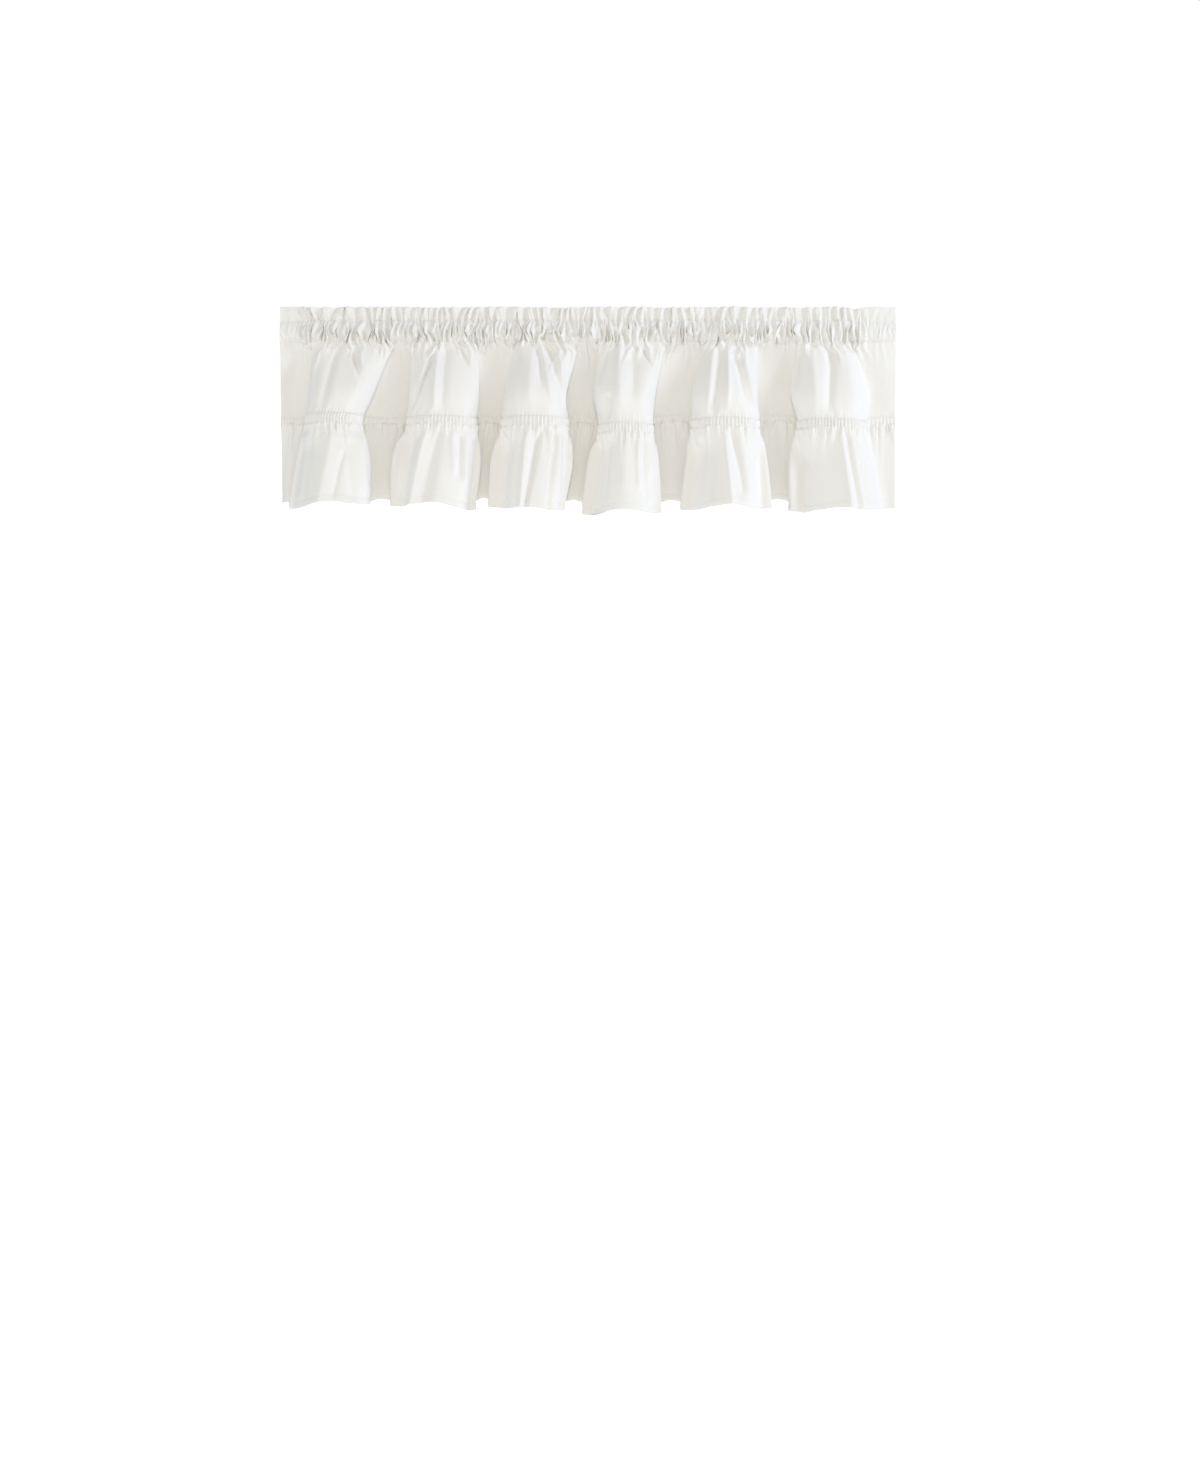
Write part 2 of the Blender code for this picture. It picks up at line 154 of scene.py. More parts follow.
# Creases of the front faces. A ridge stands out and a trough goes in, both by relief; lean
# rolls its crest sideways.
Crease = namedtuple("Crease", "top_x top_drop foot_x foot_drop half_width relief lean")
BODY_CREASES = (
    Crease(-433, 66, -455, 200, 8, -6, 0.0),
    Crease(-458, 72, -474, 140, 4, 3, -0.4),
    Crease(-405, 66, -377, 168, 5, -5, 0.3),
    Crease(-396, 66, -369, 158, 4, 3, 0.0),
    Crease(-362, 62, -348, 102, 6, -6, 0.0),
    Crease(-384, 70, -394, 168, 6, 3, 0.0),
    Crease(-258, 64, -304, 178, 4, 6, -0.5),
    Crease(-262, 80, -305, 194, 5, -9, -0.4),
    Crease(-254, 66, -262, 210, 6, 5, 0.0),
    Crease(-243, 66, -246, 208, 7, -4, 0.0),
    Crease(-226, 62, -198, 120, 4, -7, 0.4),
    Crease(-216, 62, -195, 112, 4, 4, 0.0),
    Crease(-99, 62, -97, 190, 12, 5, 0.0),
    Crease(-88, 66, -78, 158, 5, -5, 0.0),
    Crease(-78, 66, -59, 188, 5, 3, 0.4),
    Crease(-70, 66, -41, 176, 5, -6, 0.4),
    Crease(-53, 60, -36, 188, 4, 4, 0.5),
    Crease(34, 66, 16, 148, 6, -6, 0.0),
    Crease(53, 64, 58, 200, 11, 5, 0.0),
    Crease(76, 80, 78, 178, 9, -5, 0.0),
    Crease(36, 152, 33, 213, 6, -7, 0.0),
    Crease(92, 66, 115, 124, 4, -5, 0.4),
    Crease(136, 66, 108, 124, 5, 4, -0.3),
    Crease(104, 66, 115, 126, 4, 4, 0.0),
    Crease(219, 64, 201, 208, 6, 5, -0.2),
    Crease(229, 68, 212, 210, 8, -6, 0.0),
    Crease(239, 64, 237, 198, 6, 6, 0.0),
    Crease(250, 84, 276, 200, 8, -8, 0.3),
    Crease(262, 66, 290, 198, 5, 4, 0.4),
    Crease(363, 76, 349, 158, 4, -5, 0.0),
    Crease(388, 66, 386, 198, 9, 4, 0.0),
    Crease(417, 62, 411, 204, 9, -9, 0.0),
    Crease(440, 70, 454, 198, 16, 3, 0.0),
)
RUFFLE_CREASES = (
    Crease(-480, 215, -500, 345, 8, 3, 0.0),
    Crease(-484, 208, -517, 376, 44, -11, 0.0),
    Crease(-423, 208, -466, 376, 11, 4, 0.0),
    Crease(-412, 250, -432, 345, 6, -4, 0.0),
    Crease(-408, 200, -407, 232, 3, -5, 0.0),
    Crease(-405, 230, -394, 345, 10, -4, 0.0),
    Crease(-388, 212, -380, 330, 7, 4, 0.0),
    Crease(-322, 222, -336, 320, 5, 4, 0.0),
    Crease(-304, 210, -337, 376, 24, -19, 0.0),
    Crease(-274, 208, -308, 376, 9, 6, -0.3),
    Crease(-252, 210, -289, 376, 12, -10, 0.0),
    Crease(-243, 203, -238, 235, 4, 4, 0.0),
    Crease(-228, 212, -226, 300, 5, 3, 0.0),
    Crease(-218, 222, -214, 310, 6, -5, 0.0),
    Crease(-204, 212, -204, 320, 6, 4, 0.0),
    Crease(-150, 205, -160, 262, 5, 6, -0.4),
    Crease(-146, 212, -152, 262, 4, -5, 0.0),
    Crease(-150, 208, -171, 376, 36, -24, 0.0),
    Crease(-103, 208, -118, 376, 7, 8, 0.4),
    Crease(-76, 212, -112, 376, 6, -8, -0.5),
    Crease(-64, 206, -84, 228, 4, -6, 0.0),
    Crease(-54, 210, -64, 376, 4, -9, 0.4),
    Crease(-45, 208, -48, 330, 5, 3, 0.0),
    Crease(-36, 216, -32, 330, 4, -4, 0.0),
    Crease(12, 208, -9, 376, 40, -21, 0.0),
    Crease(34, 215, 24, 345, 6, -3, 0.0),
    Crease(62, 212, 60, 330, 14, 3, 0.0),
    Crease(84, 208, 90, 330, 5, 4, 0.0),
    Crease(92, 210, 106, 345, 5, -7, 0.3),
    Crease(101, 208, 112, 300, 4, 3, 0.0),
    Crease(190, 206, 186, 250, 5, 5, 0.0),
    Crease(182, 208, 161, 376, 50, -20, 0.0),
    Crease(215, 212, 214, 345, 6, -4, 0.0),
    Crease(231, 206, 244, 376, 6, 7, 0.4),
    Crease(239, 210, 266, 336, 8, -9, 0.4),
    Crease(279, 255, 306, 300, 5, -2, 0.0),
    Crease(270, 206, 285, 240, 5, 3, 0.0),
    Crease(356, 208, 349, 376, 62, -28, 0.0),
    Crease(428, 208, 453, 376, 6, 4, 0.0),
    Crease(436, 210, 470, 376, 5, -5, 0.0),
    Crease(446, 208, 478, 376, 5, 5, 0.0),
    Crease(454, 210, 486, 376, 6, -7, 0.0),
)
# A crease fades at its ends, strays a little from its straight line, and is a soft bell in section.
CREASE_FADE = 14.0
CREASE_FADE_SHARE = 1.1
BODY_CREASE_FADE = 44.0
RUFFLE_CREASE_FADE = 20.0
CREASE_TOP_FADE = 8.0
CREASE_STRAY = 1.5
CREASE_TURN = 3.0
CREASE_BELL = 1.7
CREASE_ROLL = 0.5
CREASE_LEAN_TURN = 3.0

# A front is what stands out by this depth, and faces forward by this share.
FRONT_DEPTH = 12.0
FRONT_FACING = 1.6

# Folds of the heading, which run down from the header through the pocket and out into the body.
# header, stitch, pocket and body: how high a fold stands there. least_run and most_run: how far
# it runs on below. wander: how far its line strays. roundness: below 1 for broad crests with
# sharp hollows, above 1 for narrow crests. unevenness: 1 for crests of every width and height,
# 0 for crests all alike. eyes: how deep the deepest hollows between them go.
Fold = namedtuple(
    "Fold", "seed pitch header stitch pocket body least_run most_run wander roundness unevenness eyes")
HEADING_FOLDS = (
    Fold(11, 13.0, 8.4, 4.2, 4.0, 5.6, 22.0, 80.0, 9.0, 1.2, 1.0, 0.0),
    Fold(12, 6.5, 1.1, 2.8, 8.0, 5.8, 6.0, 28.0, 10.0, 1.7, 1.0, 6.0),
)
BACK_FOLDS = (Fold(13, 7.4, 0.0, 0.5, 6.4, 0.5, 5.0, 12.0, 7.0, 1.3, 1.0, 0.0),)
BAND_FOLD = Fold(41, 6.2, 0.0, 0.0, 3.7, 3.4, 8.0, 26.0, 1.0, 1.1, 0.35, 0.0)

# How far a fold's line strays at each of these drops, as a share of its wander.
FOLD_DROPS = (0.0, STITCH_DROP, POCKET_MIDDLE_DROP, POCKET_FOOT_DROP, POCKET_FOOT_DROP + 40.0)
STRAY_SHARES = (1.0, 0.5, 0.55, 0.7, 0.8)
FOLD_HEIGHT_LEVELS = 4
RUN_FADE = 1.2
# Crests get narrower as they run out of their seam. reach: over how long a way.
FOLD_NARROWING = 1.6
FOLD_NARROWING_REACH = 16.0
BAND_NARROWING = 1.5
BAND_NARROWING_REACH = 8.0
ASIDE_SMOOTHINGS = 2

# The stitches under the header hold the folds down.
STITCH_PINCH = 0.22
PINCH_HALF_HEIGHT = 1.6
HEADER_FOLD_MEAN = 4.6
HEADER_FADE = 6.0
POCKET_FOOT_FADE = 8.0
LAYER_GAP = 0.4

# Eyes: the deep hollows above the pocket's foot.
EYE_TOP_DROP = 36.0
EYE_TOP_FADE = 10.0
EYE_FOOT_FADE = 7.0
EYE_PAST_FOOT = 2.0

# The rows of stitches stray up and down, in waves of these lengths and shares of the height.
Wave = namedtuple("Wave", "seed length share")
FOOT_WAVER = 2.6
FOOT_WAVES = (Wave(73, 34.0, 1.0), Wave(74, 8.0, 0.8))
STITCH_WAVER = 1.3
STITCH_WAVES = (Wave(75, 25.0, 1.0),)
WAVER_REACH = 13.0

# Gathers: single crests that run from a seam into the cloth. pitch: from crest to crest. reach:
# how far they run. lean: how far they slant.
Gather = namedtuple("Gather", "seed pitch height half_width least_reach most_reach lean")
LONG_GATHERS = Gather(32, 15.0, 4.2, 5.0, 26.0, 90.0, 0.16)
BODY_FOOT_GATHERS = Gather(22, 19.0, 2.0, 5.0, 14.0, 34.0, 0.30)
GATHER_PITCHES = (0.6, 1.4)
GATHER_HEIGHTS = (0.45, 1.0)
GATHER_WIDTHS = (0.75, 1.25)
GATHER_WIDENING = 0.5
GATHER_WINDOW = 1.6
GATHER_TOP = 0.8
GATHER_FADE = 1.3

# A soft noise is a number of waves, each with a pace across and down.
NOISE_WAVES = 9
NOISE_ACROSS = (0.4, 1.0)
NOISE_DOWN = (-0.5, 0.5)

# Broad soft waves over the whole cloth. across and down: their lengths.
Unevenness = namedtuple("Unevenness", "seed height across down fade")
BODY_UNEVENNESS = Unevenness(71, 0.9, 40, 160, 30)
RUFFLE_UNEVENNESS = Unevenness(72, 1.1, 45, 190, 40)

# The body above the band. Rows lie closer by the pocket, and the last ones go behind the band.
BODY_ROW_POWER = 1.25
HIDDEN_SHARE = 0.12
CREASE_FOOT_FADE = 14.0
BODY_FOOT_SHARE = 0.30
FOOT_GATHERS_FADE = 6.0

# The shirred band, and the short gathers that run on below it.
VALLEY_PUCKER = 0.4
STITCHED_PUCKER = 0.35
PUCKER_SECTION = 0.6
PUCKER_RISE = 4.0
GATHERS_DROP = 24.0

HEM_DEPTH = 12.0
HEM_TURNS = (0.0, 0.35, 1.0)
HEM_LAYER = 1.1
HEM_DIMPLE = 0.8
HEM_DIMPLE_HALF_WIDTH = 1.6
FRONT_HEM_FALL = 5.0

# Side hems, turned to the back: how far in and how far behind each of their columns lies.
SIDE_HEM = 9.0
CLOTH_BACK = 0.8
SIDE_TURNS = np.array([SIDE_HEM, SIDE_HEM / 2, 0.3])
SIDE_SET_BACKS = np.array([CLOTH_BACK, CLOTH_BACK, CLOTH_BACK / 2])
SIDE_REACH = 14

# Sewing thread. A stitch has rings of points, each at a share of its length and of its radius.
STITCH_PITCH = 3.4
STITCH_LENGTH = 2.5
THREAD_RADIUS = 0.2
THREAD_SIDES = 6
THREAD_RINGS = ((0.0, 0.4), (0.14, 1.0), (0.86, 1.0), (1.0, 0.4))
THREAD_LIFT = 0.1
THREAD_LIFT_BY_WIDTH = 0.6


# ---------------------------------------------------------------- curves


def smooth_step(share):
    """0 to 1 with level ends."""
    share = np.clip(share, 0.0, 1.0)
    return share * share * (3.0 - 2.0 * share)


def cubic(start, end, start_slope, end_slope, t):
    """The curve from start to end with these slopes, t of the way along."""
    near = start * (1 + 2 * t) * (1 - t) ** 2 + start_slope * t * (1 - t) ** 2
    far = end * t * t * (3 - 2 * t) - end_slope * t * t * (1 - t)
    return near + far


def along(places, values, place):
    """The smooth curve through values at rising places, read at each place asked."""
    places = np.asarray(places, float)
    values = np.asarray(values, float)
    last = len(places) - 1
    place = np.clip(place, places[0], places[-1])
    i = np.clip(np.searchsorted(places, place, side="right") - 1, 0, last - 1)

    def slope(k):
        """How steep the curve is at its k-th place."""
        before = np.maximum(0, k - 1)
        after = np.minimum(last, k + 1)
        return (values[after] - values[before]) / (places[after] - places[before])

    span = places[i + 1] - places[i]
    t = (place - places[i]) / span
    return cubic(values[i], values[i + 1], slope(i) * span, slope(i + 1) * span, t)


class Plan:
    """The cloth's plan curve at every drop, from the rows of flutes and valleys."""

    DROP_STEP = 0.5
    MOST_DROP = 380.0
    MARGIN = 0.001
    NEAR = 0.05

    def __init__(self, levels, out_levels, out_shares, valley_shares, tuck_shares, edges):
        drops = np.arange(0.0, self.MOST_DROP, self.DROP_STEP)
        out_share = along(out_levels, out_shares, drops)
        valley_share = along(out_levels, valley_shares, drops)
        tuck_share = along(levels, tuck_shares, drops)
        sides = []
        for flute in FLUTES:
            left, right = edges(flute)
            sides.append((along(levels, left, drops), along(levels, right, drops)))
        end = np.full_like(drops, WIDTH / 2)
        xs = [-end]
        ys = [VALLEYS[0].set_back * out_share]
        for number, flute in enumerate(FLUTES):
            left, right = sides[number]
            valley = VALLEYS[number]
            before = -end if number == 0 else sides[number - 1][1]
            xs.append((before + left) / 2)
            ys.append(valley.set_back * valley_share)
            for plan in FLUTE_PLAN:
                tuck = flute.tuck_left if plan.tuck > 0 else flute.tuck_right
                x = left + plan.across * (right - left) + plan.tuck * tuck * tuck_share
                if plan is FLUTE_MIDDLE:
                    x = x + flute.lean * (right - left)
                beside = VALLEYS[number + 1] if plan.tuck < 0 else valley
                reach = flute.depth if plan.out > 0 else beside.set_back
                xs.append(x)
                ys.append(-plan.out * reach * (out_share if plan.out > 0 else valley_share))
        xs.extend([(sides[-1][1] + end) / 2, end])
        ys.extend([VALLEYS[-1].set_back * out_share] * 2)
        self.xs = np.array(xs).T
        self.ys = np.array(ys).T

    def read(self, table, k, drop):
        """One coordinate of plan point k at each drop."""
        level = np.clip(drop / self.DROP_STEP, 0, len(table) - 1 - self.MARGIN)
        below = level.astype(int)
        share = level - below
        return table[below, k] * (1 - share) + table[below + 1, k] * share

    def coordinate(self, table, place, drop):
        """The smooth curve through the plan points at each place and drop."""
        last = table.shape[1] - 1
        i = np.clip(np.floor(place).astype(int), 0, last - 1)
        before, start, end, after = (
            self.read(table, np.clip(i + k, 0, last), drop) for k in (-1, 0, 1, 2))
        start_slope = np.where(i == 0, end - start, (end - before) / 2)
        end_slope = np.where(i == last - 1, end - start, (after - start) / 2)
        return cubic(start, end, start_slope, end_slope, place - i)

    def at(self, place, drop):
        """x, y and the outward direction of the cloth at each place and drop."""
        last = self.xs.shape[1] - 1
        x = self.coordinate(self.xs, place, drop)
        y = self.coordinate(self.ys, place, drop)
        near = np.clip(place - self.NEAR, 0, last)
        far = np.clip(place + self.NEAR, 0, last)
        dx = self.coordinate(self.xs, far, drop) - self.coordinate(self.xs, near, drop)
        dy = self.coordinate(self.ys, far, drop) - self.coordinate(self.ys, near, drop)
        length = np.hypot(dx, dy) + TINY
        return x, y, dy / length, -dx / length


BODY_PLAN = Plan(BODY_LEVELS, BODY_OUT_LEVELS, BODY_OUT, BODY_VALLEY_OUT, BODY_TUCK,
                 lambda flute: (flute.body_left, flute.body_right))
RUFFLE_PLAN = Plan(RUFFLE_LEVELS, RUFFLE_LEVELS, RUFFLE_OUT, RUFFLE_VALLEY_OUT, RUFFLE_TUCK,
                   lambda flute: (flute.ruffle_left, flute.ruffle_right))


def per_plan_point(of_valley, of_flute):
    """One value for each plan point, from one of each valley and five across each flute."""
    values = [of_valley(VALLEYS[0])]
    for number, flute in enumerate(FLUTES):
        before = of_valley(VALLEYS[number])
        after = of_valley(VALLEYS[number + 1])
        front = of_flute(flute)
        values.extend([before, (before + front[0]) / 2, *front, (after + front[-1]) / 2])
    values.extend([of_valley(VALLEYS[-1])] * 2)
    return np.array(values, float)


def hem_across(flute):
    """The drop of a flute's lower edge at five places across it."""
    return [flute.hem_left, (flute.hem_left + flute.hem_front) / 2, flute.hem_front,
            (flute.hem_right + flute.hem_front) / 2, flute.hem_right]


BAND_TOPS = per_plan_point(lambda valley: valley.band_top, lambda flute: [flute.band_top] * 5)
BAND_FEET = per_plan_point(lambda valley: valley.band_foot, lambda flute: [flute.band_foot] * 5)
HEMS = per_plan_point(lambda valley: valley.hem, hem_across)
HEMS = HEMS + FRONT_HEM_FALL * per_plan_point(lambda valley: 0, lambda flute: [0, 1, 1, 1, 0])
PLAN_PLACES = np.arange(len(HEMS), dtype=float)
WAIST_DROP = BODY_LEVELS[2]
FINE_PLACES = 8001


def gathered_points():
    """Where each plan point of the body's cloth lies along the pocket's foot, and how far out."""
    points = [(-WIDTH / 2, END_TOP_OUT)]
    before = -WIDTH / 2
    for flute in FLUTES:
        left, right = flute.body_left[0], flute.body_right[0]
        points.append(((before + left) / 2, VALLEY_TOP_OUT))
        points.extend((left + plan.top_across * (right - left), plan.top_out) for plan in FLUTE_PLAN)
        before = right
    points.append(((before + WIDTH / 2) / 2, END_TOP_OUT))
    points.append((WIDTH / 2, END_TOP_OUT))
    return np.array(points).T


GATHERED_PLACES, GATHERED_OUTS = gathered_points()


def even_places(columns):
    """Places along the plan that lie evenly along the cloth at the waist, and the cloth's length."""
    fine = np.linspace(0.0, PLAN_PLACES[-1], FINE_PLACES)
    x, y, _, _ = BODY_PLAN.at(fine, np.full_like(fine, WAIST_DROP))
    length = np.concatenate([[0.0], np.cumsum(np.hypot(np.diff(x), np.diff(y)))])
    return np.interp(np.linspace(0.0, length[-1], columns + 1), length, fine), length[-1]


def front_share(y, out_y):
    """1 on the flutes' fronts, and 0 on their sides and in the valleys."""
    return smooth_step(-y / FRONT_DEPTH) * smooth_step(-out_y * FRONT_FACING)


def crease_moves(creases, x, drop, foot_fade):
    """How far the creases move the cloth out, and sideways, at each place on a front."""
    out = np.zeros_like(x)
    aside = np.zeros_like(x)
    for crease in creases:
        share = (drop - crease.top_drop) / (crease.foot_drop - crease.top_drop)
        line = crease.top_x + share * (crease.foot_x - crease.top_x)
        line = line + CREASE_STRAY * np.sin(share * CREASE_TURN + crease.top_x)
        fade = max(CREASE_FADE, CREASE_FADE_SHARE * crease.half_width)
        ends = smooth_step((drop - crease.top_drop) / fade)
        ends = ends * smooth_step((crease.foot_drop - drop) / foot_fade)
        across = (x - line) / crease.half_width
        across = across / (1.0 + crease.lean * np.tanh(CREASE_LEAN_TURN * across))
        bell = crease.relief * ends * np.exp(-np.abs(across) ** CREASE_BELL)
        out += bell
        aside += CREASE_ROLL * crease.lean * np.abs(bell)
    return out, aside


def gathers(gather, lengths, reaches, whole):
    """How high the gathers stand. reaches: how far each place lies from their seam."""
    rng = np.random.RandomState(gather.seed)
    height = np.zeros_like(reaches)
    spot = 0.0
    step = lengths[0, 1] - lengths[0, 0]
    columns = reaches.shape[1]
    while spot < whole:
        spot += gather.pitch * rng.uniform(*GATHER_PITCHES)
        tall = gather.height * rng.uniform(*GATHER_HEIGHTS)
        half = gather.half_width * rng.uniform(*GATHER_WIDTHS)
        reach = rng.uniform(gather.least_reach, gather.most_reach)
        lean = gather.lean * rng.uniform(-1, 1)
        window = half * GATHER_WINDOW + abs(lean) * reach
        low = max(0, int((spot - window) / step))
        high = min(columns, int((spot + window) / step) + 2)
        if low >= high:
            continue
        away = reaches[:, low:high]
        wide = half * (1 + GATHER_WIDENING * away / reach)
        aside = (lengths[:, low:high] - spot - lean * away) / wide
        round_top = np.clip(1 - aside * aside, 0, 1) ** GATHER_TOP
        crest = tall * round_top * smooth_step(1 - away / reach) ** GATHER_FADE
        height[:, low:high] = np.maximum(height[:, low:high], crest)
    return height


class Crests:
    """Crests side by side across the cloth, whose lines stray and now and then join."""

    LEAST_GAP = 0.35
    SPARE = 8
    SPARE_SHARE = 1.15
    PITCH_SPREAD = 0.5
    MEAN_HEIGHT = 0.8
    HEIGHT_SPREAD = 0.45
    LEAN_SPREAD = 0.8
    DEEP_SHARE = 0.5
    LEAST_DEPTH = 0.5
    FULL_HOLLOW = 0.6

    def __init__(self, fold, start, end):
        rng = np.random.RandomState(fold.seed)
        count = int(self.SPARE_SHARE * (end - start) / fold.pitch) + self.SPARE
        self.fold = fold
        spread = fold.unevenness * rng.uniform(-self.PITCH_SPREAD, self.PITCH_SPREAD, count)
        self.spots = start - 2 * fold.pitch + np.cumsum(fold.pitch * (1.0 + spread))
        self.strays = rng.uniform(-1, 1, (len(FOLD_DROPS), count))
        spread = rng.uniform(-self.HEIGHT_SPREAD, self.HEIGHT_SPREAD, (FOLD_HEIGHT_LEVELS, count))
        self.heights = self.MEAN_HEIGHT + fold.unevenness * spread
        self.run = rng.uniform(fold.least_run, fold.most_run, count)
        self.lean = rng.uniform(-self.LEAN_SPREAD, self.LEAN_SPREAD, count)
        is_deep = rng.uniform(0, 1, count) < self.DEEP_SHARE
        self.deep = is_deep * rng.uniform(self.LEAST_DEPTH, 1.0, count)

    def beside(self, x, strays):
        """The crest left of each place, the share of the way to the next, and how wide the gap is."""
        left = np.zeros(x.shape, int)
        share = np.zeros_like(x)
        gap = np.zeros_like(x)
        order = self.LEAST_GAP * np.arange(len(self.spots))
        for row in range(len(x)):
            lines = np.maximum.accumulate(self.spots + strays[row] - order) + order
            at = np.clip(np.searchsorted(lines, x[row], side="right") - 1, 0, len(lines) - 2)
            left[row] = at
            gap[row] = lines[at + 1] - lines[at]
            share[row] = np.clip((x[row] - lines[at]) / gap[row], 0, 1)
        return left, share, gap

    def shape(self, share, gap, roundness):
        """1 on a crest and 0 in the hollow, and the hollow, which goes shallow where crests close up."""
        hollow = 1 - np.abs(np.cos(math.pi * share)) ** roundness
        return 1 - hollow * np.clip(gap / (self.FULL_HOLLOW * self.fold.pitch), 0, 1), hollow


def between(of_crest, left, share):
    """What the crests on both sides of each place have, share of the way from the left one."""
    return of_crest(left) * (1 - share) + of_crest(left + 1) * share


def soft_noise(seed, u, v):
    """A smooth uneven field from -1 to 1, made of crossing waves."""
    rng = np.random.RandomState(seed)
    total = np.zeros_like(u)
    for _ in range(NOISE_WAVES):
        across = rng.uniform(*NOISE_ACROSS)
        down = rng.uniform(*NOISE_DOWN)
        phase = rng.uniform(0, 2 * math.pi)
        total += np.sin(2 * math.pi * (across * u + down * v) + phase)
    return total / math.sqrt(NOISE_WAVES)


def unevenness(kind, lengths, drop, from_seam):
    """How far the broad waves move the cloth, beginning a little way from its seam."""
    wave = soft_noise(kind.seed, lengths / kind.across, drop / kind.down)
    return kind.height * wave * smooth_step(from_seam / kind.fade)


# ---------------------------------------------------------------- meshes


def linked_object(name, mesh):
    """A smooth mesh as an object of the scene."""
    mesh.shade_smooth()
    piece = bpy.data.objects.new(name, mesh)
    bpy.context.scene.collection.objects.link(piece)
    return piece


def grid_object(name, x, y, z, u, v):
    """A grid of points in millimetres as a smooth mesh object, with the cloth's own coordinates."""
    rows, columns = x.shape
    points = np.stack([x, y, z], axis=-1).reshape(-1, 3) * MM
    index = np.arange(rows * columns).reshape(rows, columns)
    upper = index[:-1]
    lower = index[1:]
    faces = np.stack([upper[:, :-1], lower[:, :-1], lower[:, 1:], upper[:, 1:]], axis=-1).reshape(-1, 4)
    mesh = bpy.data.meshes.new(name)
    mesh.vertices.add(len(points))
    mesh.vertices.foreach_set("co", points.astype(np.float32).ravel())
    mesh.loops.add(faces.size)
    mesh.loops.foreach_set("vertex_index", faces.ravel().astype(np.int32))
    mesh.polygons.add(len(faces))
    mesh.polygons.foreach_set("loop_start", np.arange(0, faces.size, 4, dtype=np.int32))
    mesh.update(calc_edges=True)
    cloth_map = mesh.uv_layers.new(name="cloth")
    flat = np.stack([u, v], axis=-1).reshape(-1, 2)[faces.ravel()] * MM
    cloth_map.data.foreach_set("uv", flat.astype(np.float32).ravel())
    return linked_object(name, mesh)


def grid_lines(piece, columns):
    """The points and outward normals of a grid piece in millimetres, as rows and columns."""
    count = len(piece.data.vertices)
    points = np.empty(count * 3, np.float32)
    piece.data.vertices.foreach_get("co", points)
    normals = np.empty(count * 3, np.float32)
    piece.data.vertex_normals.foreach_get("vector", normals)
    shape = (count // columns, columns, 3)
    points = points.reshape(shape).astype(float) / MM
    normals = normals.reshape(shape).astype(float)
    return points, normals


def unit_rows(vectors):
    """Vectors, one a row, brought to length 1."""
    return vectors / (np.linalg.norm(vectors, axis=1, keepdims=True) + TINY)


def stitch_ends(points, normals):
    """Where each stitch along a line of points starts and ends, and which way is outward there."""
    length = np.concatenate([[0.0], np.cumsum(np.linalg.norm(np.diff(points, axis=0), axis=1))])
    places = np.arange(STITCH_PITCH, length[-1] - STITCH_PITCH, STITCH_PITCH)

    def read(values, at):
        """The values along the line, read at each of these lengths."""
        return np.stack([np.interp(at, length, values[:, k]) for k in range(3)], axis=1)

    first = read(points, places - STITCH_LENGTH / 2)
    last = read(points, places + STITCH_LENGTH / 2)
    return first, last, read(normals, places)


def stitch_faces(count):
    """The faces of a number of stitches: the sides between their rings, and their closed ends."""
    base = np.arange(count) * THREAD_SIDES * len(THREAD_RINGS)
    faces = []
    for ring in range(len(THREAD_RINGS) - 1):
        for k in range(THREAD_SIDES):
            here = base + THREAD_SIDES * ring + k
            beyond = base + THREAD_SIDES * ring + (k + 1) % THREAD_SIDES
            faces.append(np.stack([here, beyond, beyond + THREAD_SIDES, here + THREAD_SIDES], axis=1))
    last = THREAD_SIDES * (len(THREAD_RINGS) - 1)
    ends = ((0, (0, 5, 4, 3)), (0, (0, 3, 2, 1)), (last, (0, 1, 2, 3)), (last, (0, 3, 4, 5)))
    for ring, order in ends:
        faces.append(np.stack([base + ring + k for k in order], axis=1))
    return np.concatenate(faces)


def stitched(name, lines):
    """One mesh of short stitches along lines, each line a run of points and of outward normals."""
    parts = [stitch_ends(points, normals) for points, normals in lines]
    first, last, outward = (np.concatenate(part) for part in zip(*parts))
    run = unit_rows(last - first)
    outward = unit_rows(outward - run * np.sum(outward * run, axis=1, keepdims=True))
    beside = np.cross(run, outward)
    rings = []
    for share, wide in THREAD_RINGS:
        lift = THREAD_RADIUS * (THREAD_LIFT + THREAD_LIFT_BY_WIDTH * wide)
        centre = first + share * (last - first) + outward * lift
        for side in range(THREAD_SIDES):
            angle = side * 2 * math.pi / THREAD_SIDES
            turn = outward * math.cos(angle) + beside * math.sin(angle)
            rings.append(centre + turn * THREAD_RADIUS * wide)
    points = np.stack(rings, axis=1).reshape(-1, 3) * MM
    mesh = bpy.data.meshes.new(name)
    mesh.from_pydata(points.tolist(), [], stitch_faces(len(first)).tolist())
    return linked_object(name, mesh)


# ---------------------------------------------------------------- heading


def top_edge_drop(x):
    """The header's top edge, a little wavy, with a dip near its right end."""
    wave = np.sin(x / TOP_EDGE_WAVE) + RIPPLE_SHARE * np.sin(x / TOP_EDGE_RIPPLE + 1.0)
    dip = DIP_DEPTH * np.exp(-(((x - DIP_PLACE) / DIP_HALF_WIDTH) ** 2))
    return TOP_EDGE_FALL * (1.0 - WAVE_SHARE * wave) + dip


def pleat_strength(x):
    """1 where the heading is gathered, falling to a little at its flat ends."""
    left = smooth_step((x + WIDTH / 2 - FLAT_LEFT_END) / END_FADE)
    right = smooth_step((WIDTH / 2 - x - FLAT_RIGHT_END) / END_FADE)
    return END_FULLNESS + (1 - END_FULLNESS) * left * right


